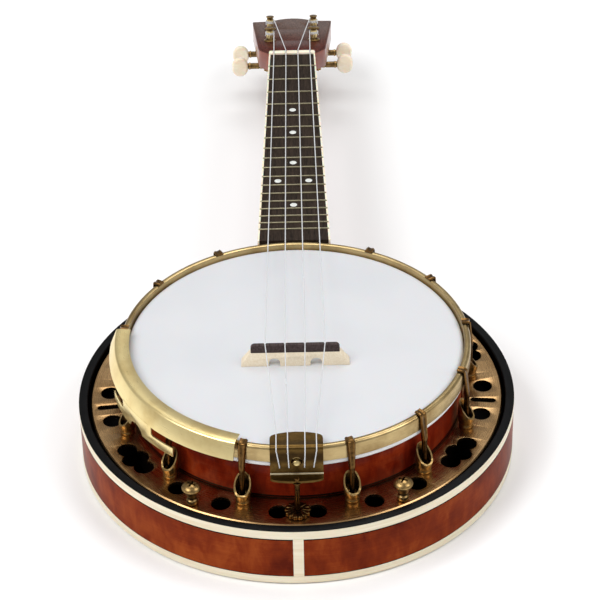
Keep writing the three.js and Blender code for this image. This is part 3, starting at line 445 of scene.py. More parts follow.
class Weave:
    """A material's node tree, with short ways to add and join its nodes."""

    def __init__(self, name: str) -> None:
        """Starts a material with one surface shader.

        Args:
            name: The material's name.
        """
        self.material = bpy.data.materials.new(name)
        self.material.use_nodes = True
        self.tree = self.material.node_tree
        self.shader = self.tree.nodes["Principled BSDF"]

    def node(self, kind: str, feeds: dict[str | int, object], **settings: object) -> bpy.types.Node:
        """Adds a node.

        Args:
            kind: The node's type, after the words that all types start with.
            feeds: A value or a socket for each input, by the input's name or number.
            settings: The node's own settings.

        Returns:
            The node.
        """
        made = self.tree.nodes.new("ShaderNode" + kind)
        for name, value in settings.items():
            setattr(made, name, value)
        for key, value in feeds.items():
            self.feed(made.inputs[key], value)
        return made

    def feed(self, target: Socket, value: object) -> None:
        """Joins a socket to another, or sets it to a number, a vector or a colour in screen values.

        Args:
            target: The socket.
            value: What it takes.
        """
        if isinstance(value, Socket):
            self.tree.links.new(value, target)
        else:
            target.default_value = shade(*value) if target.type == "RGBA" else value

    def surface(self, **values: object) -> None:
        """Sets the shader's sockets, with spaces in their names written as underscores."""
        for name, value in values.items():
            self.feed(self.shader.inputs[name.replace("_", " ")], value)

    def place(self, scale: Point = (1, 1, 1)) -> Socket:
        """Finds the point's place on the piece in millimetres.

        Args:
            scale: How much the place is stretched each way.

        Returns:
            The place as a vector.
        """
        source = self.node("TexCoord", {}).outputs["Object"]
        return self.node("Mapping", {
            "Vector": source, "Scale": [part / MM for part in scale]}).outputs["Vector"]

    def split(self, vector: Socket | None = None) -> Sequence[Socket]:
        """The three parts of a vector, or else of the point's place."""
        return self.node("SeparateXYZ", {0: vector or self.place()}).outputs

    def sum(self, operation: str, *values: object) -> Socket:
        """One sum, such as ADD or SQRT, on numbers or sockets."""
        return self.node("Math", dict(enumerate(values)), operation=operation).outputs[0]

    def total(self, *products: tuple[object, object]) -> Socket:
        """Adds up products, each of two numbers or sockets."""
        return reduce(lambda a, b: self.sum("ADD", a, b), [self.sum("MULTIPLY", *pair) for pair in products])

    def polar(self, turn: float, out: float, up: float) -> Socket:
        """The point's angle round the drum, its radius and its height, each times a scale.

        Args:
            turn: Scale of the angle.
            out: Scale of the radius.
            up: Scale of the height.

        Returns:
            The three as a vector.
        """
        across, along, height = self.split()
        angle = self.sum("ARCTAN2", across, self.sum("MULTIPLY", along, -1.0))
        radius = self.sum("SQRT", self.total((across, across), (along, along)))
        parts = [self.sum("MULTIPLY", *pair) for pair in ((angle, turn), (radius, out), (height, up))]
        return self.node("CombineXYZ", dict(enumerate(parts))).outputs[0]

    def noise(self, where: Socket | Point | float, detail: float = 3.0, rough: float = 0.5,
              warp: float = 0.0) -> Socket:
        """A cloudy pattern.

        Args:
            where: Vector that the pattern is read at, or a scale of the point's place.
            detail: Number of finer patterns in it.
            rough: How strong the finer patterns are.
            warp: How far the pattern is bent.

        Returns:
            A number from 0 to 1.
        """
        if isinstance(where, float):
            where = (where, where, where)
        if isinstance(where, tuple):
            where = self.place(where)
        return self.node("TexNoise", {"Vector": where, "Scale": 1.0, "Detail": detail, "Roughness": rough,
                                      "Distortion": warp}).outputs["Fac"]

    def ramp(self, factor: Socket, stops: Sequence[tuple[float, Point]]) -> Socket:
        """Turns a number into a colour by a row of stops.

        Args:
            factor: The number.
            stops: Position and colour of each stop.

        Returns:
            The colour.
        """
        made = self.node("ValToRGB", {0: factor})
        while len(made.color_ramp.elements) < len(stops):
            made.color_ramp.elements.new(0.5)
        for element, (position, colour) in zip(made.color_ramp.elements, stops):
            element.position = position
            element.color = shade(*colour)
        return made.outputs["Color"]

    def spread(self, factor: Socket, low: float, high: float, start: float = 0.0, end: float = 1.0) -> Socket:
        """Maps a number from the range start to end on the range low to high, held at its ends."""
        return self.node("MapRange", {"Value": factor, "From Min": start, "From Max": end, "To Min": low,
                                      "To Max": high}).outputs["Result"]

    def blend(self, factor: Socket, first: object, second: object, mode: str = "MIX") -> Socket:
        """Mixes two colours."""
        return self.node("Mix", {"Factor": factor, 6: first, 7: second}, data_type="RGBA",
                         blend_type=mode).outputs[2]

    def bump(self, height: Socket, strength: float, depth: float) -> None:
        """Gives the surface a fine relief of a depth in millimetres."""
        relief = self.node("Bump", {"Strength": strength, "Distance": depth * MM, "Height": height})
        self.surface(Normal=relief.outputs["Normal"])


class Grain(Enum):
    """How the wood's figure lies on a piece."""

    ROUND_THE_DRUM = "round"
    ALONG_THE_NECK = "along"


@dataclass(frozen=True)
class Finish:
    """A finish, whose material is made when a piece first wears it."""

    name: str

    @cache
    def material(self) -> bpy.types.Material:
        """Makes the material once.

        Returns:
            The material.
        """
        weave = Weave(self.name)
        self.paint(weave)
        return weave.material

    def paint(self, weave: Weave) -> None:
        """Sets the shader's sockets and their nodes."""
        raise NotImplementedError


@dataclass(frozen=True)
class LacqueredWood(Finish):
    """Flamed wood stained red-brown under a high gloss."""

    grain: Grain
    tones: tuple[Point, Point, Point]
    # Radius and height span inside which the wood is darkened as painted shade; on the bowl this is also its
    # dark inside finish.
    painted_shade_radius: float = 0.0
    painted_shade_span: Flat = (4.7, 37.9)
    lines: tuple[float, ...] = ()
    gloss: float = 0.02
    coat: float = 0.08

    def paint(self, weave: Weave) -> None:
        """Lays the figure, the painted shade inside the hollow and the thin dark lines: purfling at the
        bowl's bindings and a painted shadow on the rim above the flange.

        Args:
            weave: The material's tree.
        """
        scales = ((0.035, 0.12, 0.05), (1.1, 0.05, 1.1), (0.02, 0.01, 0.02))
        colour, fibres = self.figure(weave, [weave.place(scale) for scale in scales])
        height = weave.split()[2]
        if self.grain is Grain.ROUND_THE_DRUM:
            scales = ((13.0, 0.11, 0.05), (5.0, 0.5, 1.3), (2.4, 0.02, 0.05))
            bent, fibres = self.figure(weave, [weave.polar(*scale) for scale in scales])
            flat_back = weave.sum("LESS_THAN", height, 0.5)
            colour = weave.blend(flat_back, bent, colour)
        # Painted shade: inside the radius and between the heights the colour turns near black.
        if self.painted_shade_radius > 0:
            _, out, level = weave.split(weave.polar(1.0, 1.0, 1.0))
            low, high = self.painted_shade_span
            near = weave.sum("LESS_THAN", out, self.painted_shade_radius)
            between = weave.sum("COMPARE", level, (low + high) / 2, (high - low) / 2)
            colour = weave.blend(weave.sum("MULTIPLY", near, between), colour, (14, 7, 5))
        # Thin dark lines: real purfling on the bowl, and a painted shadow on the rim just above the flange.
        if self.lines:
            found = [weave.sum("COMPARE", height, line, 0.32) for line in self.lines]
            colour = weave.blend(weave.sum("MAXIMUM", *found), colour, (26, 10, 7))
        weave.surface(Base_Color=colour, Roughness=0.3, Specular_IOR_Level=self.gloss,
                      Coat_Weight=self.coat, Coat_Roughness=0.08)
        weave.bump(fibres, 0.08, 0.05)

    def figure(self, weave: Weave, places: Sequence[Socket]) -> tuple[Socket, Socket]:
        """Mixes flames, fibres and clouds into the wood's colour.

        Args:
            weave: The material's tree.
            places: Where the flames, the fibres and the clouds are read.

        Returns:
            The colour and the fibres.
        """
        flames = weave.noise(places[0], 4.0, 0.62, 0.4)
        fibres = weave.noise(places[1], 4.0, 0.6)
        clouds = weave.noise(places[2], 1.0)
        mixed = weave.total((flames, 0.48), (fibres, 0.16), (clouds, 0.38))
        return weave.ramp(mixed, list(zip((0.36, 0.52, 0.68), self.tones))), fibres


@dataclass(frozen=True)
class BrushedMetal(Finish):
    """Metal with fine brush lines that run round the drum."""

    base: Point
    stain: Point
    roughness: float
    streak: float = 1.0
    patina: float = 0.35
    metallic: float = 1.0

    def paint(self, weave: Weave) -> None:
        """Brushes the metal and stains it in blotches.

        Args:
            weave: The material's tree.
        """
        streaks = weave.noise(weave.polar(5.0, 3.2, 3.2), 3.0, 0.7)
        age = weave.spread(weave.noise(0.05, 4.0, 0.6), 0.0, self.patina, 0.42, 0.7)
        sway = 0.08 * self.streak
        gleam = weave.spread(streaks, self.roughness - sway, self.roughness + sway, 0.3, 0.7)
        colour = weave.blend(age, self.base, self.stain)
        weave.surface(Base_Color=colour, Metallic=self.metallic, Roughness=gleam)
        weave.bump(streaks, 0.12 * self.streak, 0.05)


@dataclass(frozen=True)
class AntiqueBrass(Finish):
    """Brass browned in its hollows and rubbed bright on its edges, with a painted dark reflection band and a
    painted highlight line where it has them.
    """

    bright: Point
    brown: Point
    roughness: float = 0.3
    blotch: float = 0.5
    # Height of a painted dark reflection band, and of a painted highlight line at the bend under it; 0 leaves
    # both out.
    band: float = 0.0
    bend: float = 0.0

    def paint(self, weave: Weave) -> None:
        """Browns the brass. Where there is a band, a painted dark reflection darkens it, and a painted
        highlight brightens the bend under it.

        Args:
            weave: The material's tree.
        """
        pointed = weave.node("NewGeometry", {}).outputs["Pointiness"]
        edges = weave.spread(pointed, 0.0, 1.0, 0.47, 0.56)
        mottle = weave.noise(self.blotch, 5.0, 0.65)
        fine = weave.noise(2.4, 3.0, 0.6)
        rubbed = weave.spread(weave.total((mottle, 0.75), (edges, 0.42)), 0.0, 1.0, 0.34, 0.86)
        colour = weave.blend(rubbed, self.brown, self.bright)
        if self.band > 0:
            # Painted dark reflection round the band's height, and a painted highlight along the bend.
            height = weave.split()[2]
            away = weave.sum("ABSOLUTE", weave.sum("SUBTRACT", height, self.band))
            colour = weave.blend(weave.spread(away, 0.72, 0.0, 2.0, 5.5), colour, (26, 16, 11))
            colour = weave.blend(weave.sum("COMPARE", height, self.bend, 0.4), colour, (236, 222, 188))
        dull = weave.spread(fine, self.roughness - 0.08, self.roughness + 0.16, 0.3, 0.7)
        weave.surface(Base_Color=colour, Metallic=1.0, Roughness=dull)
        weave.bump(fine, 0.2, 0.06)


@dataclass(frozen=True)
class Moulding(Finish):
    """Plastic or bone-like trim, with faint clouds or lines in it."""

    base: Point
    vein: Point
    roughness: float = 0.3
    stretch: Point | float = 0.12
    soft: float = 0.0
    gloss: float = 0.35

    def paint(self, weave: Weave) -> None:
        """Clouds the trim and gives it a fine gloss.

        Args:
            weave: The material's tree.
        """
        veins = weave.noise(self.stretch, 4.0, 0.55, 0.3)
        fine = weave.noise(1.5, 2.0)
        colour = weave.blend(weave.spread(veins, 0.0, 1.0, 0.35, 0.7), self.base, self.vein)
        gleam = weave.spread(fine, self.roughness - 0.05, self.roughness + 0.08, 0.3, 0.7)
        weave.surface(Base_Color=colour, Roughness=gleam, Subsurface_Weight=self.soft,
                      Subsurface_Scale=0.002, Specular_IOR_Level=self.gloss)
        weave.bump(fine, 0.06, 0.03)


@dataclass(frozen=True)
class DarkWood(Finish):
    """Open-pored wood with its grain along the neck, and a blush at its near end where it has one."""

    dark: Point
    light: Point
    roughness: float
    coat: float = 0.0
    blush: Point | None = None

    def paint(self, weave: Weave) -> None:
        """Lays the grain and opens the pores.

        Args:
            weave: The material's tree.
        """
        grain = weave.noise((0.9, 0.035, 0.9), 5.0, 0.65, 0.2)
        pores = weave.noise((3.0, 0.16, 3.0), 3.0, 0.6)
        colour = weave.ramp(weave.total((grain, 0.6), (pores, 0.4)), [(0.36, self.dark), (0.64, self.light)])
        if self.blush:
            near = weave.spread(weave.split()[1], 1.0, 0.0, 380.0, 432.0)
            colour = weave.blend(near, colour, self.blush, "MULTIPLY")
        gleam = weave.spread(pores, self.roughness + 0.12, self.roughness - 0.05, 0.35, 0.6)
        weave.surface(Base_Color=colour, Roughness=gleam, Specular_IOR_Level=0.09, Coat_Weight=self.coat,
                      Coat_Roughness=0.12)
        weave.bump(pores, 0.3, 0.08)


@dataclass(frozen=True)
class CoatedSkin(Finish):
    """The drum's white coated skin, with a fine sprayed tooth."""

    base: Point
    shadow: Point

    def paint(self, weave: Weave) -> None:
        """Sprays the coat.

        Args:
            weave: The material's tree.
        """
        clouds = weave.noise(0.018, 2.0)
        tooth = weave.noise(2.2, 4.0, 0.7)
        colour = weave.blend(weave.spread(clouds, 0.0, 0.6, 0.4, 0.65), self.base, self.shadow)
        weave.surface(Base_Color=colour, Roughness=weave.spread(tooth, 0.42, 0.6, 0.3, 0.7),
                      Subsurface_Weight=0.15, Subsurface_Scale=0.001)
        weave.bump(tooth, 0.15, 0.04)


@dataclass(frozen=True)
class ClearNylon(Finish):
    """Translucent nylon string."""

    base: Point
    cloud: Point

    def paint(self, weave: Weave) -> None:
        """Clouds the nylon along its length.

        Args:
            weave: The material's tree.
        """
        cloud = weave.noise((0.6, 0.05, 0.6))
        colour = weave.blend(weave.spread(cloud, 0.0, 0.4), self.base, self.cloud)
        weave.surface(Base_Color=colour, Roughness=weave.spread(cloud, 0.16, 0.32), IOR=1.53,
                      Transmission_Weight=0.2)


@dataclass(frozen=True)
class PaleFloor(Finish):
    """The studio's matt floor."""

    def paint(self, weave: Weave) -> None:
        """Tones the floor faintly."""
        tone = weave.noise(0.002, 2.0)
        weave.surface(Base_Color=weave.blend(tone, (252, 252, 252), (248, 248, 248)), Roughness=0.9)


RED_TONES = ((88, 26, 10), (124, 46, 16), (152, 70, 28))
RIM_TONES = ((78, 15, 8), (118, 32, 12), (158, 58, 22))
# The bowl's inside within 126.8 mm is a dark inside finish and painted shade; its lines at 5.72 and 32.58 mm
# are purfling beside the bindings.
BOWL_WOOD = LacqueredWood("flamed_bowl_wood", Grain.ROUND_THE_DRUM, RED_TONES, 126.8, lines=(5.72, 32.58),
                          coat=0.03)
# The rim inside 104 mm and below 34.6 mm is painted shade under the flange; its dark lines at 37.9 and 38.5
# mm are a painted shadow just above the flange.
RIM_WOOD = LacqueredWood("rim_wood", Grain.ROUND_THE_DRUM, RIM_TONES, 104.0, (0.0, 34.6), (37.9, 38.5))
NECK_WOOD = LacqueredWood("neck_wood", Grain.ALONG_THE_NECK, RED_TONES, gloss=0.4, coat=0.5)
BLACK = Moulding("black_trim", (5, 5, 6), (12, 12, 13), 0.42, gloss=0.1)
CREAM = Moulding("cream_trim", (241, 231, 207), (230, 215, 184), 0.34, (0.02, 0.02, 0.6), 0.1)
IVORY = Moulding("ivory_button", (250, 240, 220), (238, 222, 194), 0.28, (0.1, 0.1, 0.25), 0.3)
# The collar is whiter than the skin as painted light against the shade under the hoop.
PAINTED_LIGHT_RESIN = Moulding("collar_resin_painted_light", (252, 252, 253), (246, 247, 249), gloss=0.3)
PEARL = Moulding("pearl_dot", (238, 238, 232), (204, 210, 208), 0.18, 0.5)
BRONZE = BrushedMetal("bronze_flange", (190, 154, 108), (136, 98, 56), 0.27, 0.6, 0.7)
SATIN_BRASS = BrushedMetal("satin_hoop", (190, 167, 120), (138, 112, 70), 0.32, 1.2, 0.8)
GOLD = BrushedMetal("satin_gold", (246, 225, 164), (216, 186, 120), 0.3, 0.4, 0.7, 0.88)
NICKEL = BrushedMetal("fret_wire", (156, 148, 122), (128, 119, 94), 0.32, 0.4, 0.2)
BRASS = AntiqueBrass("antique_brass", (178, 146, 94), (44, 31, 18))
CLAW_BRASS = AntiqueBrass("browned_claw", (126, 93, 52), (26, 17, 9), 0.26)
# The tail plate's band at 74.0 mm is a painted dark reflection, and its line at 62.35 mm a painted highlight
# on the lip's bend.
TAIL_BRASS = AntiqueBrass("browned_plate_painted_light", (102, 78, 40), (24, 16, 9), 0.32, 0.3, 74.0, 62.35)
SKIN = CoatedSkin("coated_skin", (208, 209, 212), (201, 203, 207))
BOARD_WOOD = DarkWood("fingerboard_wood", (24, 18, 14), (60, 48, 39), 0.5)
VENEER = DarkWood("headstock_veneer", (40, 26, 21), (112, 80, 66), 0.42, 0.02, (236, 150, 140))
EBONY = DarkWood("bridge_cap_wood", (46, 37, 36), (86, 73, 71), 0.45)
MAPLE = DarkWood("bridge_wood", (230, 212, 182), (246, 234, 212), 0.5)
NYLON = ClearNylon("nylon_string", (232, 233, 235), (214, 216, 219))
FLOOR = PaleFloor("pale_floor")


def hand_over(piece: Piece, finish: Finish, slot: str, *nodes: str, body: str = ROOT,
              crease: float = 30.0) -> None:
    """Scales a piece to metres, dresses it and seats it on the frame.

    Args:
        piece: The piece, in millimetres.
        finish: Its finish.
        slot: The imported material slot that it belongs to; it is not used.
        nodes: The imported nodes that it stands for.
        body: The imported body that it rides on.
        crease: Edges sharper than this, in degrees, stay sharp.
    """
    moved(piece, Matrix.Scale(MM, 4))
    bpy.ops.object.shade_smooth_by_angle(angle=math.radians(crease))
    piece.data.materials.clear()
    piece.data.materials.append(finish.material())
    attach(piece, body)
    if nodes:
        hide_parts(*nodes)
    LOG.info("%s: %d faces on %s", piece.name, len(piece.data.polygons), body)


def raised(profile: Sequence[Flat], height: float) -> list[Flat]:
    """Lifts a profile by a height."""
    return [(out, height + level) for out, level in profile]


def mirrored(right: Sequence[Flat], *middle: Flat) -> list[Flat]:
    """An outline from its right half, with points between its halves where it has them."""
    return [*right, *middle, *[(-x, y) for x, y in reversed(right)]]


def notched(spacing: float, top: float, wide: float, narrow: float, deep: float) -> list[Flat]:
    """The right half of an upper edge with its two string slots.

    Args:
        spacing: Distance from string to string.
        top: Height of the edge.
        wide: Half a slot's width at the edge.
        narrow: Half its width at the bottom.
        deep: Its depth.

    Returns:
        The points of the slots, from the right.
    """
    slot = ((wide, 0.0), (narrow, deep), (-narrow, deep), (-wide, 0.0))
    return [(step * spacing + x, top - z) for step in (STRING_STEPS[3], STRING_STEPS[2]) for x, z in slot]


def wavy(radius: float, wave: float, waves: int, steps: int) -> list[Flat]:
    """A round outline with evenly spaced waves.

    Args:
        radius: Radius of the waves' middle.
        wave: Their height.
        waves: Their number.
        steps: Number of points.

    Returns:
        The outline.
    """
    turns = [2 * math.pi * step / steps for step in range(steps)]
    radii = [radius + wave * math.cos(waves * turn) for turn in turns]
    return [(r * math.cos(t), r * math.sin(t)) for r, t in zip(radii, turns)]


@dataclass
class Bowl:
    """The resonator with its trim and its four screws."""

    radius: float = 132.1
    wall_inner: float = 126.7
    binding_inner: float = 130.5
    top: float = 39.3
    ring_floor: float = 37.8
    binding_top: float = 38.8
    binding_floor: float = 32.9
    foot_top: float = 5.4
    foot_floor: float = 0.4
    back: float = 5.0
    inlay_width: float = 6.0
    lug_circle: float = 120.5
    lug_radius: float = 6.8
    lug_top: float = 35.3
    lug_bore: float = 2.3
    lug_bore_floor: float = 22.0
    screw_seat: float = 37.9
    screw_height: float = 14.4
    dome_radius: float = 5.75
    dome_height: float = 3.0
    cross_reach: float = 2.7
    cross_half: float = 0.6
    cross_depth: float = 2.2

    def build(self) -> None:
        """Builds the shell, the trim and the screws."""
        self.shell()
        self.trim()
        self.screws()

    def shell(self) -> None:
        """Turns the wooden back and wall, with a lug inside for each screw."""
        rebate = self.binding_inner - CLEARANCE
        edge = self.radius - 0.06
        inner = self.wall_inner
        back = self.back
        wood = turned("resonator_shell", [
            (0.0, 0.0), (126.0, 0.0), (rebate - 0.8, 0.15), (rebate, 0.9), (rebate, self.foot_top),
            (edge, self.foot_top), (edge, self.binding_floor), (rebate, self.binding_floor),
            (rebate, self.ring_floor), (inner, self.ring_floor), (inner, back + 5.0),
            (inner - 1.5, back + 1.5), (inner - 5.0, back), (0.0, back)], 144)
        rounded(wood, 0.25, 1, 60.0)
        lug = [(0.0, back - 1.0), (self.lug_radius, back - 1.0), (self.lug_radius, self.lug_top),
               (self.lug_bore, self.lug_top), (self.lug_bore, self.lug_bore_floor),
               (0.0, self.lug_bore_floor)]
        lugs = [moved(turned("lug", lug, 24), at(*around(self.lug_circle, side.value * angle)))
                for angle in SCREW_ANGLES for side in Side]
        hand_over(joined("resonator_shell", [wood, *lugs]), BOWL_WOOD, "mahogany", "resonator")

    def trim(self) -> None:
        """Turns the black ring and the cream bindings, and lays the cream strip on the joint at the tail."""
        radius, inner, top = self.radius, self.wall_inner, self.top
        rebate = self.binding_inner - CLEARANCE
        ring = turned("black_edge_ring", [
            (inner, self.ring_floor), (rebate, self.ring_floor), (rebate, self.binding_top),
            (radius - 0.05, self.binding_top), (radius - 0.15, top - 0.2), (radius - 0.6, top),
            (inner + 0.6, top), (inner + 0.1, top - 0.3)], 192)
        hand_over(ring, BLACK, "black_trim", "edge_ring")
        for word, low, high in (("top", self.binding_floor, self.binding_top),
                                ("bottom", self.foot_floor, self.foot_top)):
            band = turned(f"{word}_binding_band", [
                (self.binding_inner, low), (radius - 0.25, low), (radius, low + 0.25), (radius, high - 0.25),
                (radius - 0.25, high), (self.binding_inner, high)], 192)
            hand_over(band, CREAM, "cream_trim", f"{word}_binding")
        half = math.degrees(self.inlay_width / 2 / radius)
        outer, inner = (arc(reach, -half - 90.0, half - 90.0, 6) for reach in (radius - 0.005, radius - 1.5))
        strip = plate("tail_inlay", outer + inner[::-1], self.foot_top, self.binding_floor - self.foot_top)
        hand_over(strip, CREAM, "cream_trim")

    def screws(self) -> None:
        """Turns one domed screw, cuts its cross and copies it to its four places."""
        crown = self.screw_seat + self.screw_height
        shank = [(0.0, -15.0), (2.0, -15.0), (2.0, 0.0), (2.6, 0.0), (3.3, 0.7), (3.5, 1.9), (3.1, 3.1),
                 (2.3, 3.7), (2.2, 4.4), (2.6, 5.0), (3.4, 6.4)]
        slopes = [math.radians(slope) for slope in (8, 30, 50, 68, 82)]
        head = [(4.4, -4.8), (4.9, -4.2), (5.6, -3.7), (5.8, -3.1),
                *[(self.dome_radius * math.cos(slope), self.dome_height * (math.sin(slope) - 1.0))
                  for slope in slopes], (0.0, 0.0)]
        model = turned("screw", raised(shank, self.screw_seat) + raised(head, crown), 32)
        for turn in (0.0, 90.0):
            cross = oblong(self.cross_reach, -self.cross_half, self.cross_half)
            carved(model, moved(plate("blade", cross, crown - self.cross_depth, 3.0), spun(turn)))
        for number, angle in enumerate(SCREW_ANGLES, start=1):
            for side in Side:
                label = f"{side.label}_{number}"
                place = at(*around(SCREW_CIRCLE, side.value * angle)) @ spun(20 + 47 * number * side.value)
                screw = moved(copied(model, f"domed_screw_{label}"), place)
                hand_over(screw, BRASS, "aged_brass", f"resonator_screw_{label}")
        bpy.data.objects.remove(model, do_unlink=True)


@dataclass
class Flange:
    """The pierced metal ring between the drum and the resonator."""

    inner: float = 100.3
    outer: float = 124.7
    thickness: float = 2.0
    circle: float = 113.35
    hole: float = 5.8
    hook_hole: float = 1.95
    screw_hole: float = 2.3
    rod_hole: float = 1.8
    tail_angle: float = 5.6
    screw_gap: float = 7.4
    slot_gap: float = 7.0
    lobe: float = 6.0
    lobe_reach: float = 9.6
    lobe_spread: float = 2.3
    slot_length: float = 15.4
    slot_width: float = 4.2
    heel_width: float = 21.5
    heel_reach: float = 121.0

    def build(self) -> None:
        """Turns the ring, cuts its holes and rounds their edges."""
        top = FLANGE_TOP
        floor = top - self.thickness
        ring = turned("pierced_flange", [
            (self.inner, floor), (self.outer, floor), (self.outer, top - 0.7), (self.outer - 0.7, top),
            (self.inner, top)], 192)
        gaps = [(one + other) / 2 for one, other in zip(HOOK_ANGLES, HOOK_ANGLES[1:])]
        outlines = [oblong(self.heel_width, 90.0, self.heel_reach)]
        for side in Side:
            for gap, outline in ((1, self.quatrefoil()), (3, self.quatrefoil()), (2, self.slot())):
                outlines.append(self.placed(outline, side.value * gaps[gap]))
        cutters = [plate("cutter", outline, floor - 3.0, self.thickness + 6.0) for outline in outlines]
        carved(ring, joined("cutters", cutters))
        drilled(ring, self.round_holes(gaps[2]), floor - 3.0, top + 3.0, 28)
        rounded(ring, 0.3, 2, 50.0)
        hand_over(ring, BRONZE, "aged_brass", "flange")

    def round_holes(self, slot_angle: float) -> list[Point]:
        """Lists the sound holes and the holes for hooks, screws and the tail rod.

        Args:
            slot_angle: Angle of the slot that has a sound hole at each side.

        Returns:
            The x, y and radius of each hole.
        """
        holes = [(self.rod_hole, TAIL_ROD_CIRCLE, 0.0)]
        for side in Side:
            sign = side.value
            holes.append((self.hole, self.circle, sign * self.tail_angle))
            for angle in SCREW_ANGLES:
                gap = self.screw_gap
                holes += [(self.hole, self.circle, sign * (angle + step)) for step in (-gap, gap)]
                holes.append((self.screw_hole, SCREW_CIRCLE, sign * angle))
            gap = self.slot_gap
            holes += [(self.hole, self.circle, sign * (slot_angle + step)) for step in (-gap, gap)]
            holes += [(self.hook_hole, HOOK_CIRCLE, sign * angle) for angle in HOOK_ANGLES]
        return [(*around(circle, angle)[:2], radius) for radius, circle, angle in holes]

    def quatrefoil(self) -> list[Flat]:
        """Merges four lobes, two along the ring and two across it.

        Returns:
            Their outline round the origin.
        """
        along, across = self.lobe_reach, self.lobe_spread
        centres = [(along, 0.0), (0.0, across), (-along, 0.0), (0.0, -across)]
        outline = []
        for number, centre in enumerate(centres):
            heading = 90.0 * number
            other = centres[(number + 1) % 4]
            meeting = math.degrees(math.acos(math.dist(centre, other) / 2 / self.lobe))
            towards = math.degrees(math.atan2(other[1] - centre[1], other[0] - centre[0]))
            end = (towards - meeting - heading + 180.0) % 360.0 - 180.0
            outline += arc(self.lobe, heading - end, heading + end, 14, centre)
        return outline

    def slot(self) -> list[Flat]:
        """Draws a narrow slot that points away from the drum.

        Returns:
            Its outline round the origin.
        """
        radius = self.slot_width / 2
        straight = self.slot_length / 2 - radius
        return arc(radius, 0.0, 180.0, 8, (0.0, straight)) + arc(radius, 180.0, 360.0, 8, (0.0, -straight))

    def placed(self, outline: Sequence[Flat], degrees: float) -> list[Flat]:
        """Puts an outline, given across and out from the hole circle, at an angle round the drum.

        Args:
            outline: The outline round the origin.
            degrees: The angle from the tail.

        Returns:
            The outline in its place.
        """
        turn = math.radians(degrees)
        return [((self.circle + y) * math.sin(turn) + x * math.cos(turn),
                 x * math.sin(turn) - (self.circle + y) * math.cos(turn)) for x, y in outline]


@dataclass
class Drum:
    """The wooden rim, the head over it and the hoop that stretches it."""

    rim_radius: float = 100.0
    rim_inner: float = 91.0
    rim_floor: float = 16.0
    rim_top: float = 74.1
    ledge: float = 103.0
    ledge_top: float = 35.6
    head_top: float = 74.9
    skin: float = 0.7
    band_reach: float = 2.65
    collar_floor: float = 61.9
    collar_top: float = 67.7
    hoop_inner: float = 101.3
    hoop_floor: float = 66.8
    hoop_top: float = 77.3

    def build(self) -> None:
        """Turns the rim, the head with its collar, and the hoop."""
        self.rim()
        self.head()
        inner, outer = self.hoop_inner, HOOP_OUTER
        hoop = turned("tension_ring", [
            (inner, self.collar_top), (outer - 1.9, self.collar_top), (outer - 1.9, self.hoop_floor),
            (outer - 0.4, self.hoop_floor), (outer, self.hoop_floor + 0.4),
            *raised([(outer, -2.0), (outer - 0.25, -1.0), (outer - 1.0, -0.25), (outer - 1.8, 0.0),
                     (inner + 0.9, 0.0), (inner + 0.25, -0.25), (inner, -0.9)], self.hoop_top)], 192)
        hand_over(hoop, SATIN_BRASS, "hoop_brass", "tension_hoop", crease=40.0)

    def rim(self) -> None:
        """Turns the rim with its ledge for the flange, and cuts the hole for the dowel stick."""
        out, inner, ledge, top = self.rim_radius, self.rim_inner, self.ledge, self.rim_top
        rim = turned("wooden_rim", [
            (inner, self.rim_floor), (ledge, self.rim_floor), (ledge, self.ledge_top), (out, self.ledge_top),
            *raised([(out, -1.5), (out - 0.5, -0.5), (out - 1.5, 0.0), (out - 3.5, 0.0),
                     (inner, -4.5)], top)], 144)
        half = DOWEL_HALF + CLEARANCE
        carved(rim, plate("hole", oblong(half, 88.0, 106.0), DOWEL_FLOOR - CLEARANCE, 2 * half))
        hand_over(rim, RIM_WOOD, "rim_wood", "rim")

    def head(self) -> None:
        """Turns the pressed skin, and the collar round the foot of its skirt."""
        skirt = self.rim_radius + CLEARANCE
        outside = skirt + self.skin
        low = self.collar_floor + 1.1
        head = turned("coated_head", [
            *raised([(0.0, 0.0), (96.6, 0.0), (98.0, -0.12), (99.1, -0.45), (100.0, -1.05), (100.6, -1.85),
                     (100.9, -2.7), (outside, -3.8)], self.head_top),
            (outside, low), (skirt, low), (skirt, self.rim_top - 1.7), (skirt - 1.7, self.rim_top),
            (0.0, self.rim_top)], 192)
        hand_over(head, SKIN, "drum_skin", "drum_head", crease=40.0)
        seam = outside + 0.02
        band = skirt + self.band_reach
        collar = turned("flesh_hoop", [
            *raised([(seam, 0.0), (band - 0.5, 0.0), (band, -0.5), (band, -1.2), (band + 0.8, -1.6),
                     (band + 1.1, -2.2)], self.collar_top),
            *raised([(band + 1.1, 1.1), (band + 0.7, 0.3), (band - 0.6, 0.0), (seam, 0.0)], low)], 192)
        # The collar wears a whiter finish than the skin, as painted light in the hoop's shade.
        hand_over(collar, PAINTED_LIGHT_RESIN, "drum_skin", "drum_head", crease=40.0)


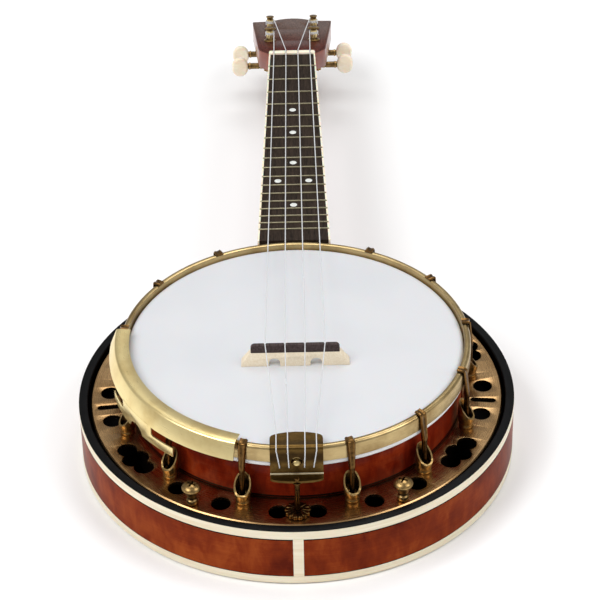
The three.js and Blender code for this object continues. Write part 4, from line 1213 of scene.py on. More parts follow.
@dataclass
class Hardware:
    """The twelve hooks and the scooped shoes that they run through."""

    claw_top: float = 79.0
    claw_width: float = 5.2
    claw_depth: float = 1.4
    claw_inner: float = 101.3
    rod_top: float = 60.3
    rod_radius: float = 1.65
    nut_top: float = 35.3

    def build(self) -> None:
        """Models one hook and one shoe and copies them round the drum."""
        hook = self.hook()
        shoe = self.shoe()
        for number, angle in enumerate(HOOK_ANGLES, start=1):
            for side in Side:
                turn = spun(side.value * angle)
                label = f"{side.label}_{number}"
                claw = moved(copied(hook, f"hook_with_nut_{label}"), turn)
                hand_over(claw, CLAW_BRASS, "aged_brass", f"hook_{label}", crease=50.0)
                cup = moved(copied(shoe, f"scooped_shoe_{label}"), turn)
                hand_over(cup, BRASS, "aged_brass", f"shoe_{label}", crease=50.0)
        for model in (hook, shoe):
            bpy.data.objects.remove(model, do_unlink=True)

    def station(self, out: float, height: float, half_width: float, half_depth: float, flute: float = 0.0,
                slope: float = 0.0) -> list[Point]:
        """One ring of a hook, round or with two grooves along its outer side.

        Args:
            out: The ring centre's distance from the drum's axis.
            height: The ring centre's height.
            half_width: Half the width along the hoop.
            half_depth: Half the thickness.
            flute: Depth of the grooves, from 0 to 1.
            slope: Angle in degrees of the hook's outer side, 0 outwards and 90 upwards.

        Returns:
            Sixteen points of the ring.
        """
        turn = math.radians(slope)
        ring = []
        for step in range(16):
            angle = 2 * math.pi * (step + 0.5) / 16
            across, away = math.cos(angle), math.sin(angle)
            if flute > 0:
                full = max(abs(across), abs(away))
                across, away = across / full, away / full
                if away > 0:
                    away -= flute * 0.5 * (1 - math.cos(3 * math.pi * across))
            ring.append((across * half_width, -(out + away * half_depth * math.cos(turn)),
                         height + away * half_depth * math.sin(turn)))
        return ring

    def hook(self) -> Piece:
        """Builds a fluted claw that turns over the hoop and narrows into a rod with a nut.

        Returns:
            The hook at the tail.
        """
        half = self.claw_width / 2
        deep = self.claw_depth / 2
        wide = half * 0.98
        out = HOOP_OUTER + CLEARANCE + deep
        top = self.claw_top - deep
        rings = [
            self.station(self.claw_inner - 0.2, top - 0.5, half * 0.8, deep * 0.55, 0.4, 110.0),
            self.station(self.claw_inner, top, half * 0.94, deep * 0.95, 0.7, 95.0),
            self.station(out - 2.4, top, wide, deep, 0.8, 88.0),
            self.station(out - 0.75, top - 0.12, wide, deep, 0.8, 68.0),
            self.station(out - 0.12, top - 0.75, wide, deep, 0.8, 22.0)]
        radius = self.rod_radius
        claw = (out, top - 2.2, wide, deep, 0.8)
        rod = (HOOK_CIRCLE, self.rod_top, radius, radius, 0.0)
        for share in (0.0, 0.2, 0.4, 0.6, 0.8, 0.95):
            rings.append(self.station(*[a + (b - a) * share for a, b in zip(claw, rod)]))
        nut = raised([(radius, 0.2), (3.3, 0.0), (3.4, -3.0), (3.1, -3.2), (radius, -3.2), (radius, -5.1),
                      (radius * 0.8, -5.2)], self.nut_top)
        for size, height in ((radius, self.rod_top), *nut):
            rings.append(self.station(HOOK_CIRCLE, height, size, size))
        return lofted("hook", rings)

    def shoe(self) -> Piece:
        """Turns a cup on a ringed foot and scoops its outer side open up to a pointed tip.

        Returns:
            The shoe at the tail.
        """
        shoe = turned("shoe", raised([
            (1.95, 0.0), (4.1, 0.0), (4.3, 0.4), (4.3, 1.5), (4.0, 1.9), (4.0, 2.3), (4.35, 2.7), (4.5, 3.6),
            (4.9, 5.4), (5.1, 7.5), (5.15, 9.5), (5.0, 13.0), (4.7, 16.5), (4.3, 18.9), (3.6, 18.9),
            (3.9, 16.0), (4.15, 12.0), (4.1, 7.5), (3.6, 5.2), (2.6, 4.3), (1.95, 4.0)], FLANGE_TOP), 40)
        scoop = plate("scoop", [
            (-6.5, 5.6), (-5.2, 6.1), (-4.2, 6.9), (-2.9, 8.3), (-1.4, 10.3), (0.0, 12.4), (1.6, 14.9),
            (3.2, 17.2), (4.3, 18.3), (5.6, 18.9), (6.5, 25.0), (-6.5, 25.0)], -7.0, 14.0)
        carved(shoe, moved(scoop, at(0.0, 0.0, FLANGE_TOP) @ SIDEWAYS))
        rounded(shoe, 0.28, 2, 40.0)
        return moved(shoe, at(0.0, -HOOK_CIRCLE, 0.0))


@dataclass
class Bridge:
    """The three-footed bridge with its dark cap."""

    place: float = -20.5
    floor: float = 74.9
    foot_reach: float = 32.2
    cap_reach: float = 26.3
    cap_floor: float = 8.8
    height: float = 13.7
    arch_place: float = 12.35
    arch_half: float = 3.35
    arch_height: float = 5.0
    foot_depth: float = 7.2
    top_depth: float = 2.6

    def build(self) -> None:
        """Saws the feet and the cap and thins both towards the top."""
        reach, cap, floor, top = self.foot_reach, self.cap_reach, self.cap_floor, self.height
        arch = mirrored([(-1.0, 0.0), (-1.0, 0.45), (-0.86, 0.72), (-0.55, 0.92)], (0.0, 1.0))
        arches = [(middle + self.arch_half * x, self.arch_height * z)
                  for middle in (-self.arch_place, self.arch_place) for x, z in arch]
        feet = mirrored([(reach, 0.0), (reach - 0.3, 1.6), (reach - 2.2, 4.2), (cap + 0.6, floor)])
        hand_over(self.thinned("bridge_feet", arches + feet), MAPLE, "maple", "bridge")
        edge = [(cap, floor), (cap, top - 2.2), (cap - 0.6, top - 0.8), (cap - 2.0, top)]
        cap_outline = mirrored(edge + notched(BRIDGE_SPACING, top, 0.62, 0.45, 1.0))
        hand_over(self.thinned("bridge_cap", cap_outline), EBONY, "maple", "bridge")

    def thinned(self, name: str, outline: Sequence[Flat]) -> Piece:
        """Cuts an outline and tapers its depth from the feet to the top.

        Args:
            name: The piece's name.
            outline: Points across and up.

        Returns:
            The piece in its place on the head.
        """
        piece = moved(plate(name, outline, -self.foot_depth, 2 * self.foot_depth), UPRIGHT)
        foot, top = self.foot_depth / 2, self.top_depth / 2
        reach = self.foot_reach + 1
        section = [(-foot, 0.0), (foot, 0.0), (top, self.height), (-top, self.height)]
        wedge = plate("wedge", section, -reach, 2 * reach)
        carved(piece, moved(wedge, SIDEWAYS), Keep.INSIDE)
        rounded(piece, 0.3, 2, 40.0)
        return moved(piece, at(0.0, self.place, self.floor))


@dataclass
class Tailpiece:
    """The bent tailpiece over the hoop, its rod and its thumb nut."""

    half_width: float = 15.1
    front: float = 93.0
    back: float = 108.6
    top: float = 80.0
    thickness: float = 1.4
    lip_top: float = 61.7
    lip_reach: float = 6.6
    window_height: float = 70.6
    window_radius: float = 3.3
    string_hole_height: float = 67.0
    string_hole_radius: float = 0.75
    nut_radius: float = 7.2
    nut_depth: float = 2.4
    flutes: int = 14

    def build(self) -> None:
        """Builds the plate, the rod with its nut behind the hole, and the thumb nut."""
        self.sheet()
        self.fittings()
        self.thumb_nut()

    def sheet(self) -> None:
        """Bends the plate, trims its front and lip to their bows and bores its holes."""
        back = -self.back
        end = back - self.lip_reach
        side = raised([(-self.front, 0.0), (-100.0, 0.05), (-104.3, 0.1), (-105.6, 0.55), (-106.6, 0.1),
                       (-107.3, -0.15), (-107.9, 0.1), (back, -0.9), (back - 0.15, -2.4),
                       (back, -4.0)], self.top)
        side += raised([(back, 1.4), (back - 0.4, 0.35), (back - 1.4, 0.0), (end, 0.0)], self.lip_top)
        under = []
        for before, (y, z), after in zip([side[0], *side], side, [*side[1:], side[-1]]):
            scale = self.thickness / math.dist(before, after)
            under.append((y - (after[1] - before[1]) * scale, z + (after[0] - before[0]) * scale))
        piece = plate("tail_plate", [*side, *reversed(under)], -self.half_width, 2 * self.half_width)
        moved(piece, SIDEWAYS)
        right = [(x, -self.front - 6.0 * y) for x, y in (
            (0.4, 0.08), (0.66, 0.22), (0.82, 0.36), (0.93, 0.52), (0.985, 0.72), (1.0, 1.0))]
        right += [(x, end + 3.0 * y) for x, y in (
            (1.0, 1.0), (0.95, 0.75), (0.84, 0.5), (0.62, 0.24), (0.35, 0.08))]
        outline = [(0.0, -self.front), *mirrored([(x * self.half_width, y) for x, y in right], (0.0, end))]
        carved(piece, plate("trim", outline, self.lip_top - 5.0, 30.0), Keep.INSIDE)
        bores = [(0.0, self.window_height, self.window_radius)]
        bores += [(x, self.string_hole_height, self.string_hole_radius) for x in TAIL_PLACES]
        for x, z, radius in bores:
            carved(piece, moved(peg(radius, 3.0, 24), at(x, back + self.thickness / 2, z) @ spun(90.0, "X")))
        rounded(piece, 0.22, 2, 40.0)
        hand_over(piece, TAIL_BRASS, "aged_brass", "tailpiece", crease=40.0)

    def fittings(self) -> None:
        """Turns the rod and the round nut that shows through the hole."""
        rod = turned("tail_rod", [
            (0.0, 31.9), (1.3, 31.9), (1.5, 32.3),
            *raised([(1.5, -1.8), (2.6, -1.8), (2.6, -1.45), (1.5, -1.45), (1.5, 0.9), (1.2, 1.3),
                     (0.0, 1.3)], self.lip_top)], 24)
        hand_over(moved(rod, at(0.0, -TAIL_ROD_CIRCLE, 0.0)), CLAW_BRASS, "aged_brass", "tailpiece")
        knob = turned("tail_hole_nut", [
            (0.0, -1.6), (2.6, -1.6), (2.7, -0.6), (2.4, 0.1), (1.7, 0.6), (0.9, 0.8), (0.0, 0.85)], 28)
        moved(knob, at(0.0, 1.3 - self.back, 67.7) @ spun(75.0, "X"))
        hand_over(knob, GOLD, "aged_brass", "tailpiece")

    def thumb_nut(self) -> None:
        """Cuts the knurled nut that draws the rod down."""
        floor = FLANGE_TOP + CLEARANCE
        outline = wavy(self.nut_radius, 0.4, self.flutes, 8 * self.flutes)
        nut = plate("knurled_nut", outline, floor, self.nut_depth)
        drilled(nut, [(0.0, 0.0, 1.8)], floor - 1.0, floor + 4.0, 20)
        rounded(nut, 0.5, 3, 50.0)
        for step in range(self.flutes):
            lift = at(6.6, 0.0, floor + 2.75) @ spun(90.0, "Y")
            carved(nut, moved(peg(0.7, 4.0, 10), spun(360.0 * (step + 0.5) / self.flutes) @ lift))
        moved(nut, at(0.0, -TAIL_ROD_CIRCLE, 0.0))
        hand_over(nut, CLAW_BRASS, "aged_brass", "thumb_nut", body="thumb_nut", crease=40.0)


@dataclass
class Armrest:
    """The plate bent over the hoop at the player's forearm, with its slotted bracket."""

    middle: float = -57.0
    half_span: float = 38.2
    inner: float = 99.3
    crest: float = 108.0
    skirt: float = 110.8
    top: float = 80.1
    thickness: float = 0.9
    drop: float = 10.6
    bracket_drop: float = 22.4
    finger_drop: float = 5.6
    finger_reach: float = 17.4
    root: float = 8.2

    def build(self) -> None:
        """Sweeps the cover's bent section round the drum, and adds the bracket."""
        inner, crest, skirt, metal = self.inner, self.crest, self.skirt, self.thickness
        section = raised([
            (inner, -metal), (inner, -0.2), (inner + 0.25, 0.0), (crest - 1.4, 0.0), (crest - 0.4, -0.25),
            (crest + 0.15, -1.0), (skirt + metal, 0.3 - self.drop), (skirt + metal - 0.2, -self.drop),
            (skirt, -self.drop), (crest - metal + 0.05, -1.5), (crest - 1.5, -metal)], self.top)
        angles = [self.middle + self.half_span * (step / 30 - 1) for step in range(61)]
        rings = [[around(out, angle, height) for out, height in section] for angle in angles]
        cover = lofted("armrest_cover", rings)
        hand_over(cover, GOLD, "gold_plate", "armrest", crease=40.0)
        self.bracket()

    def bracket(self) -> None:
        """Cuts the bracket flat, then bends it round the drum under the skirt."""
        edge = self.top - self.drop
        floor = self.top - self.bracket_drop
        finger = edge - self.finger_drop
        root, reach = self.root, self.finger_reach
        arch = [(x, floor + z * 1.53) for x, z in arc(3.4, 180.0, 0.0, 12)]
        right = [(reach, floor), (reach, finger), (root + 0.6, finger), (root, finger + 0.8),
                 (root, edge + 0.9)]
        outline = [(-reach, floor), *arch, *mirrored(right)[:-1]]
        dense = []
        for before, after in zip(outline, outline[1:] + outline[:1]):
            count = max(1, round(abs(after[0] - before[0]) / 1.2))
            shares = [step / count for step in range(count)]
            dense += [tuple(a + (b - a) * share for a, b in zip(before, after)) for share in shares]
        piece = plate("armrest_bracket", dense, self.skirt, self.thickness)
        for vertex in piece.data.vertices:
            angle, height, radius = vertex.co
            vertex.co = around(radius, self.middle + angle, height)
        pick(piece)
        edit()
        sealed()
        rounded(piece, 0.2, 2, 60.0)
        hand_over(piece, GOLD, "gold_plate", "armrest", crease=40.0)


@dataclass
class Neck:
    """The neck with its fingerboard, nut and headstock."""

    nut_place: float = 365.35
    nut_height: float = 67.7
    pitch: float = 2.18
    board: float = 5.0
    nut_width: float = 33.4
    end_width: float = 46.4
    scale: float = 381.0
    fret_count: int = 18
    nut_thickness: float = 4.0
    nut_rise: float = 1.2
    nut_shift: float = 3.0
    binding: float = 1.25
    tilt: float = 14.0
    step: float = 0.15
    veneer: float = 1.5
    head_depth: float = 12.7
    heel_floor: float = 17.0
    heel_length: float = 42.0
    heel_curve: float = 2.2
    depth_at_nut: float = 14.0
    depth_at_heel: float = 17.0
    roundness: float = 0.78

    def __post_init__(self) -> None:
        """Works out the two frames that the neck's pieces lie in."""
        self.frame = at(0.0, self.nut_place, self.nut_height) @ spun(-self.pitch, "X")
        head_start = at(0.0, self.nut_thickness + 0.9 - self.nut_shift, -self.step)
        self.head_frame = self.frame @ head_start @ spun(self.pitch - self.tilt, "X")
        self.length = (self.nut_place - HOOP_OUTER - 0.5) / math.cos(math.radians(self.pitch))

    def half_width(self, distance: float) -> float:
        """Half the neck's width at a distance from the nut towards the drum."""
        return (self.nut_width + (self.end_width - self.nut_width) * distance / self.length) / 2

    def fret_place(self, number: float) -> float:
        """How far a fret lies from the nut."""
        return self.scale * (1 - 2 ** (-number / 12))

    def build(self) -> None:
        """Builds the wood, the fingerboard with its trim, the nut and the veneer."""
        self.wood()
        self.fingerboard()
        self.frets()
        self.dots()
        self.nut()
        self.face()

    def bored(self, piece: Piece, low: float, high: float) -> None:
        """Bores the headstock for the four string posts."""
        drilled(piece, [(x, y, POST_BORE) for x in (-POST_SPREAD, POST_SPREAD) for y in POST_ROWS], low, high)

    def shaft(self) -> Piece:
        """Lofts the rounded shaft, which swells into the heel at the drum.

        Returns:
            The shaft, seen from the nut.
        """
        length, swell = self.length, self.heel_length
        floor = -self.board - CLEARANCE
        heel_depth = self.nut_height + math.tan(math.radians(self.pitch)) * length + floor - self.heel_floor
        shares = (0.06, 0.13, 0.2, 0.28, 0.37, 0.47, 0.58, 0.7, 0.84, 1.0)
        rings = []
        for distance in (length + 21.0, length, *[length - swell * share for share in shares], length * 0.7,
                         length * 0.5, length * 0.25, 20.0, 6.0, 0.0, -1.3, -13.4):
            share = min(distance / length, 1.0)
            along = min(max(distance - length + swell, 0.0) / swell, 1.0)
            depth = self.depth_at_nut + (self.depth_at_heel - self.depth_at_nut) * share
            depth += (heel_depth - self.depth_at_heel) * along ** self.heel_curve
            half = self.half_width(min(distance, length)) - 0.05
            ring = []
            for step in range(25):
                angle = math.pi * step / 24
                across = math.copysign(abs(math.cos(angle)) ** self.roundness, math.cos(angle))
                ring.append((half * across, -distance, floor - depth * math.sin(angle) ** self.roundness))
            rings.append(ring)
        return lofted("neck_wood", rings)

    def wood(self) -> None:
        """Joins the headstock to the shaft, and cuts the wood for the nut, the posts and the drum."""
        wood = self.shaft()
        floor = -self.veneer - CLEARANCE - self.head_depth
        slab = plate("headstock", self.head_outline(), floor, self.head_depth)
        lean = self.frame.inverted() @ self.head_frame
        carved(wood, moved(slab, lean), Keep.BOTH)
        carved(wood, plate("seat", oblong(40.0, -7.0, 1.6), -self.board - CLEARANCE, 20.0))
        moved(wood, lean.inverted())
        self.bored(wood, -30.0, 5.0)
        moved(wood, self.head_frame)
        carved(wood, turned("pot", [
            (0.0, 5.0), (103.3, 5.0), (103.3, 35.9), (100.3, 35.9), (100.3, 61.5), (104.4, 61.5),
            (104.4, 66.4), (105.5, 66.4), (105.5, 90.0), (0.0, 90.0)], 96))
        rounded(wood, 0.5, 2, 50.0)
        hand_over(wood, NECK_WOOD, "mahogany", "neck", crease=45.0)
        dowel = plate("dowel_stick", oblong(DOWEL_HALF, -90.4, 103.6), DOWEL_FLOOR, 2 * DOWEL_HALF)
        rounded(dowel, 1.0, 2, 50.0)
        hand_over(dowel, NECK_WOOD, "mahogany", "neck")

    def head_outline(self) -> list[Flat]:
        """The headstock's outline: flared ears, straight sides and an arched crown."""
        return mirrored([
            (16.7, 0.0), (19.0, 3.3), (22.0, 7.9), (23.9, 11.0), (24.5, 12.6), (29.6, 84.0), (29.7, 85.2),
            (29.0, 85.9), (22.5, 86.5), (16.5, 87.5), (13.0, 89.7), (9.0, 92.5), (4.6, 94.4)], (0.0, 95.0))

    def fingerboard(self) -> None:
        """Saws the dark board and lays a binding along each side."""
        near, far = self.nut_shift, -self.length
        wide, end = self.half_width(near), self.half_width(self.length)
        top, foot = wide - self.binding, end - self.binding
        board = [(-top, -near), (top, -near), (foot, far), (-foot, far)]
        strips = [("dark_board", board, 0.12, 1, BOARD_WOOD)]
        for side in Side:
            sign = side.value
            outline = [(sign * top, -near), (sign * wide, -near), (sign * end, far), (sign * foot, far)]
            strips.append((f"board_binding_{side.label}", outline, 0.3, 2, IVORY))
        for name, outline, width, segments, finish in strips:
            strip = plate(name, outline, -self.board, self.board)
            rounded(strip, width, segments, 50.0)
            hand_over(moved(strip, self.frame), finish, "dark_board", "fingerboard")

    def frets(self) -> None:
        """Crowns each fret wire and bevels its ends."""
        crown = mirrored([(-0.55, -0.1), (-0.55, 0.1), (-0.46, 0.42), (-0.27, 0.68)], (0.0, 0.78))
        wires = []
        for number in range(1, self.fret_count + 1):
            distance = self.fret_place(number)
            half = self.half_width(distance) - 0.25
            wires.append(lofted("fret", [
                [(x, -distance + y, z * size if z > 0 else z) for y, z in crown]
                for x, size in ((-half, 0.4), (-half + 0.7, 1.0), (half - 0.7, 1.0), (half, 0.4))]))
        piece = moved(joined("fret_wires", wires), self.frame)
        hand_over(piece, NICKEL, "dark_board", "fingerboard", crease=50.0)

    def dots(self) -> None:
        """Sets the pearl dots between the frets."""
        discs = []
        for x, fret in ((0.0, 5), (0.0, 7), (0.0, 10), (-10.2, 12), (10.2, 12), (0.0, 15)):
            distance = (self.fret_place(fret) + self.fret_place(fret - 1)) / 2
            disc = turned("dot", [(0.0, -0.6), (2.3, -0.6), (2.3, 0.02), (2.2, 0.06), (0.0, 0.06)], 28)
            discs.append(moved(disc, at(x, -distance, 0.0)))
        hand_over(moved(joined("pearl_dots", discs), self.frame), PEARL, "dark_board", "fingerboard")

    def nut(self) -> None:
        """Files the nut with a slot for each string."""
        half, rise = self.nut_width / 2, self.nut_rise
        edge = [(half, -self.board), (half, rise - 0.8), (half - 0.8, rise)]
        upper = mirrored(edge + notched(NUT_SPACING, rise, 0.65, 0.5, 0.58))
        outline = [(-half, -self.board), *upper[:-1]]
        piece = moved(plate("slotted_nut", outline, CLEARANCE - self.nut_shift, self.nut_thickness), UPRIGHT)
        rounded(piece, 0.25, 2, 40.0)
        hand_over(moved(piece, self.frame), IVORY, "ivory_plastic", "string_nut")

    def face(self) -> None:
        """Glues the dark veneer on the headstock."""
        piece = plate("headstock_face", self.head_outline(), -self.veneer, self.veneer)
        self.bored(piece, -self.veneer - 1.0, 1.0)
        rounded(piece, 0.3, 2, 60.0)
        hand_over(moved(piece, self.head_frame), VENEER, "dark_veneer", "head_veneer")


@dataclass
class Tuner:
    """One tuner: its plate, its post with a gear, and its button on a worm shaft."""

    neck: Neck
    side: Side
    row: int
    teeth: int = 14
    pitch: float = 2.0
    worm_radius: float = 2.3
    worm_depth: float = 4.8
    plate: float = 1.2
    plate_width: float = 7.4
    plate_near: float = -15.0
    plate_far: float = 12.4
    corner: float = 3.7
    ear_place: float = 3.9
    ear_half: float = 0.6
    ear_reach: float = 2.5
    ear_bore: float = 1.75
    post_height: float = 10.2

    def __post_init__(self) -> None:
        """Works out where the post stands and where the worm runs."""
        self.label = f"{self.side.label}_{self.row}"
        place = at(self.side.value * POST_SPREAD, POST_ROWS[self.row - 1], 0.0)
        self.frame = self.neck.head_frame @ place
        self.gear_radius = self.teeth * self.pitch / (2 * math.pi)
        self.worm_offset = self.gear_radius + self.worm_radius
        self.floor = -self.neck.veneer - self.neck.head_depth - 2 * CLEARANCE - self.plate
        self.worm_height = self.floor - self.worm_depth

    def build(self) -> None:
        """Builds the plate, the post and the button."""
        self.back_plate()
        self.post()
        self.button()

    def back_plate(self) -> None:
        """Bends the plate with the two ears that carry the worm."""
        floor, wide, near, corner = self.floor, self.plate_width, self.plate_near, self.corner
        outline = [*arc(corner, 180.0, 270.0, 6, (corner - wide, near + corner)),
                   *arc(corner, 270.0, 360.0, 6, (wide - corner, near + corner))[1:],
                   (wide, self.plate_far), (-wide, self.plate_far)]
        sheet = plate("plate", outline, floor, self.plate)
        drilled(sheet, [(0.0, 0.0, POST_BORE)], floor - 1.0, floor + self.plate + 1.0, 20)
        ears = []
        for x in (-self.ear_place, self.ear_place):
            inner, outer = self.worm_offset - self.ear_reach, self.worm_offset + self.ear_reach
            outline = oblong(self.ear_half, inner, outer, x)
            ear = plate("ear", outline, self.worm_height - 3.0, self.worm_depth + 3.2)
            place = at(x, self.worm_offset, self.worm_height) @ spun(90.0, "Y")
            carved(ear, moved(peg(self.ear_bore, 2.0, 20), place))
            ears.append(ear)
        piece = joined(f"tuner_back_{self.label}", [sheet, *ears])
        rounded(piece, 0.2, 2, 50.0)
        hand_over(moved(piece, self.frame), BRASS, "aged_brass", f"tuner_plate_{self.label}")

    def post(self) -> None:
        """Turns the string post, cuts the gear under it and adds the ribbed sleeve round its waist."""
        low = self.worm_height - 1.9
        post = turned("post", [
            *raised([(0.0, -0.1), (2.2, -0.1), (2.4, 0.1)], low),
            (2.4, 0.3), (4.4, 0.3), (4.35, 0.8), (3.6, 1.2), (2.9, 1.5), (2.5, 1.9), (2.3, 2.3), (2.2, 4.2),
            (2.05, 4.6), (2.05, 7.6), (2.35, 7.85), (2.35, 8.1), (2.1, 8.35), (2.2, 8.7), (2.6, 9.2),
            (2.9, 9.6), *raised([(2.85, -0.2), (2.4, 0.0), (1.2, -0.1), (0.0, -0.15)], self.post_height)], 32)
        root, tip = self.gear_radius - 0.9, self.gear_radius + 0.6
        flank = ((root, -0.32), (root + 0.5, -0.24), (tip - 0.25, -0.16), (tip, -0.1))
        tooth = [*flank, *[(radius, -offset) for radius, offset in reversed(flank)]]
        outline = []
        for number in range(self.teeth):
            for radius, offset in tooth:
                turn = math.radians((number + 0.5 + offset) * 360.0 / self.teeth + 90.0)
                outline.append((radius * math.cos(turn), radius * math.sin(turn)))
        gear = plate("gear", outline, self.worm_height - 1.7, 3.4)
        rounded(gear, 0.12, 1, 50.0)
        sleeve = plate(f"ribbed_sleeve_{self.label}", wavy(2.26, 0.13, 12, 72), 2.2, 5.3)
        for piece, finish in ((joined(f"string_post_{self.label}", [post, gear]), BRASS), (sleeve, GOLD)):
            hand_over(moved(piece, self.frame), finish, "aged_brass", f"tuner_post_{self.label}",
                      body=f"post_{self.label}", crease=40.0)

    def button(self) -> None:
        """Builds the threaded shaft and the kidney-shaped button on its end."""
        facing = spun(0.0 if self.side is Side.RIGHT else 180.0, "Y")
        place = self.frame @ at(0.0, self.worm_offset, self.worm_height) @ facing
        for piece, finish, crease in ((self.worm_shaft(), BRASS, 40.0), (self.bean(), IVORY, 60.0)):
            hand_over(moved(piece, place), finish, "ivory_plastic", f"tuner_button_{self.label}",
                      body=f"button_{self.label}", crease=crease)

    def worm_shaft(self) -> Piece:
        """Lofts the shaft along the X axis, with its right-hand thread between the ears.

        Returns:
            The shaft.
        """
        stations = [(-4.8, 1.3, 0.0), (-4.7, 1.5, 0.0), (-3.1, 1.5, 0.0)]
        stations += [(step / 6.0 - 3.0, 1.4, 1.45 * min(1.0, step / 4.0, (36 - step) / 4.0))
                     for step in range(1, 36)]
        stations += [(x, radius, 0.0) for x, radius in (
            (3.1, 1.5), (4.9, 1.5), (4.9, 2.2), (8.0, 2.2), (8.2, 1.9), (8.5, 1.9), (8.7, 2.2), (14.9, 2.2),
            (15.1, 2.6), (16.0, 2.6), (16.2, 2.2), (18.6, 2.2))]
        turns = [2 * math.pi * step / 24 for step in range(24)]
        rings = []
        for x, core, crest in stations:
            radii = [core + crest * max(math.cos(2 * math.pi * x / self.pitch - turn), 0.0) for turn in turns]
            rings.append([(x, -out * math.cos(t), -out * math.sin(t)) for out, t in zip(radii, turns)])
        return lofted(f"worm_shaft_{self.label}", rings)

    def bean(self) -> Piece:
        """Shapes the kidney-shaped button beside the origin, its shaft along X.

        Returns:
            The button.
        """
        side = [(0.5, -3.0), (1.9, -5.6), (4.4, -7.1), (7.2, -7.4), (10.0, -6.3), (12.0, -3.9), (12.5, -1.3)]
        outline = [(0.0, 0.0), *side, (12.2, 0.0), *[(x, -z) for x, z in reversed(side)]]
        middle = 6.2
        layers = ((2.7, 0.62), (2.95, 0.8), (2.3, 0.95))
        rings = []
        for depth, shrink in (*[(-depth, shrink) for depth, shrink in layers], (0.0, 1.0), *reversed(layers)):
            rings.append([
                (16.4 + middle + (x - middle) * shrink, depth, 0.5 + z * shrink) for x, z in outline])
        piece = lofted(f"ivory_button_{self.label}", rings)
        applied(piece, "SUBSURF", levels=2, render_levels=2)
        return piece


@dataclass
class Strings:
    """The four nylon strings."""

    neck: Neck
    radius: float = 0.35
    turns: float = 2.5
    pitch: float = 1.0
    start_height: float = 7.1
    post_radius: float = 2.4
    wrap_steps: int = 28
    end_length: float = 2.0
    bridge_height: float = 88.2
    nut_lift: float = 1.3

    def build(self) -> None:
        """Runs each string from its knot to its post."""
        for index in range(4):
            route = self.route(index)
            line = cord(f"nylon_string_{index + 1}", route, self.radius)
            profile = [(0.0, -1.0), (0.6, -0.9), (1.0, -0.3), (1.05, 0.2), (0.75, 0.8), (0.0, 1.0)]
            knot = turned("knot", profile, 16)
            moved(knot, at(*route[0]) @ spun(90.0, "X"))
            piece = joined(f"nylon_string_{index + 1}", [line, knot])
            hand_over(piece, NYLON, "nylon", f"string_{index + 1}", crease=60.0)

    def route(self, index: int) -> list[Vector]:
        """Leads a string from its knot to its end on the post.

        Args:
            index: The string's number from the left, from 0.

        Returns:
            The points that it follows.
        """
        sign = -1 if index < 2 else 1
        row = POST_ROWS[0 if index in (0, 3) else 1]
        hole = TAIL_PLACES[index]
        front = (-11.4, -4.9, 4.9, 11.4)[index]
        behind = [(hole, y, z) for y, z in (
            (-106.1, 66.6), (-107.3, 66.6), (-108.7, 66.65), (-109.15, 66.95), (-109.3, 67.4))]
        over = [(front, y, z) for y, z in (
            (-109.3, 79.2), (-109.1, 80.1), (-108.3, 80.8), (-106.0, 81.25), (-93.5, 80.75))]
        bridge = (STRING_STEPS[index] * BRIDGE_SPACING, Bridge.place, self.bridge_height)
        points = [Vector(place) for place in (*behind, *over, bridge)]
        slot = STRING_STEPS[index] * NUT_SPACING
        points += [self.neck.frame @ Vector((slot, y, self.nut_lift)) for y in (-2.7, 1.3)]
        head = self.neck.head_frame
        post = Vector((sign * POST_SPREAD, row))
        away = (head.inverted() @ points[-1]).to_2d() - post
        reach = self.post_radius + CLEARANCE + self.radius
        heading = math.atan2(away.y, away.x) - sign * math.acos(reach / away.length)
        for step in range(round(self.turns * self.wrap_steps) + 1):
            angle = heading - sign * step * 2 * math.pi / self.wrap_steps
            height = self.start_height - step * self.pitch / self.wrap_steps
            x, y = post.x + reach * math.cos(angle), post.y + reach * math.sin(angle)
            points.append(head @ Vector((x, y, height)))
        return [*points, points[-1] + (points[-1] - points[-2]).normalized() * self.end_length]


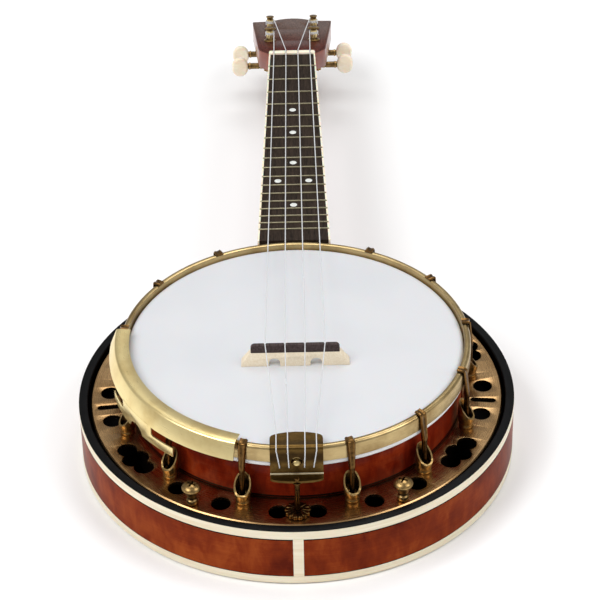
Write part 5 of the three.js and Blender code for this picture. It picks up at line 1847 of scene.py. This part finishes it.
@dataclass
class Studio:
    """The pale floor, the soft lights and the camera."""

    camera_place: Point = (8.491, -1161.836, 925.326)
    pitch: float = 35.206
    yaw: float = -0.249
    roll: float = -1.271
    lens: float = 144.08
    world_strength: float = 0.36

    def build(self) -> None:
        """Builds the floor, the world, the lights and the camera."""
        self.floor()
        self.lights()
        self.camera()

    def floor(self) -> None:
        """Lays the pale floor under a white world."""
        deselect()
        bpy.ops.mesh.primitive_plane_add(size=12.0, location=(0.0, 0.0, -0.0005))
        floor = bpy.context.object
        floor.name = "studio_floor"
        floor.data.materials.append(FLOOR.material())
        world = bpy.data.worlds.new("studio_world")
        world.use_nodes = True
        sky = world.node_tree.nodes["Background"].inputs
        sky["Color"].default_value = (1.0, 1.0, 1.0, 1.0)
        sky["Strength"].default_value = self.world_strength
        bpy.context.scene.world = world
        bpy.context.scene.view_settings.view_transform = "Standard"

    def lights(self) -> None:
        """Hangs large soft lights round the instrument."""
        for name, place, aim, size, power in (
            ("key_light", (-1.5, -0.9, 2.1), (0.0, 0.0, 0.0), 1.5, 44.0),
            ("fill_light", (1.7, -0.6, 1.9), (0.0, 0.1, 0.0), 1.5, 24.0),
            ("back_light", (0.2, 1.3, 2.8), (0.0, 0.1, 0.0), 1.6, 28.0),
        ):
            deselect()
            bpy.ops.object.light_add(type="AREA", location=place)
            lamp = bpy.context.object
            lamp.name = name
            lamp.data.size = size
            lamp.data.energy = power
            lamp.rotation_euler = (Vector(aim) - Vector(place)).to_track_quat("-Z", "Y").to_euler()

    def camera(self) -> None:
        """Sets the camera where the photograph was taken from."""
        pitch, yaw, roll = (math.radians(angle) for angle in (self.pitch, self.yaw, self.roll))
        forward = Vector((math.sin(yaw) * math.cos(pitch), math.cos(yaw) * math.cos(pitch), -math.sin(pitch)))
        right = Vector((math.cos(yaw), -math.sin(yaw), 0.0))
        up = right.cross(forward)
        level_right = math.cos(roll) * right + math.sin(roll) * up
        level_up = -math.sin(roll) * right + math.cos(roll) * up
        deselect()
        bpy.ops.object.camera_add()
        camera = bpy.context.object
        camera.name = "photo_camera"
        camera.data.lens = self.lens
        camera.data.sensor_width = 36.0
        camera.data.clip_end = 20.0
        axes = Matrix((level_right, level_up, -forward)).transposed().to_4x4()
        camera.matrix_world = Matrix.Translation(Vector(self.camera_place) * MM) @ axes
        bpy.context.scene.camera = camera


def main() -> None:
    """Builds every sub-assembly in order."""
    logging.basicConfig(level=logging.INFO, format="%(name)s: %(message)s")
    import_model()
    neck = Neck()
    tuners = [Tuner(neck, side, row) for side in Side for row in (1, 2)]
    for part in (Studio(), Bowl(), Flange(), Drum(), Hardware(), Bridge(), Tailpiece(), Armrest(), neck,
                 *tuners, Strings(neck)):
        LOG.info("building %s", type(part).__name__)
        part.build()
    deselect()


if __name__ == "__main__":
    main()
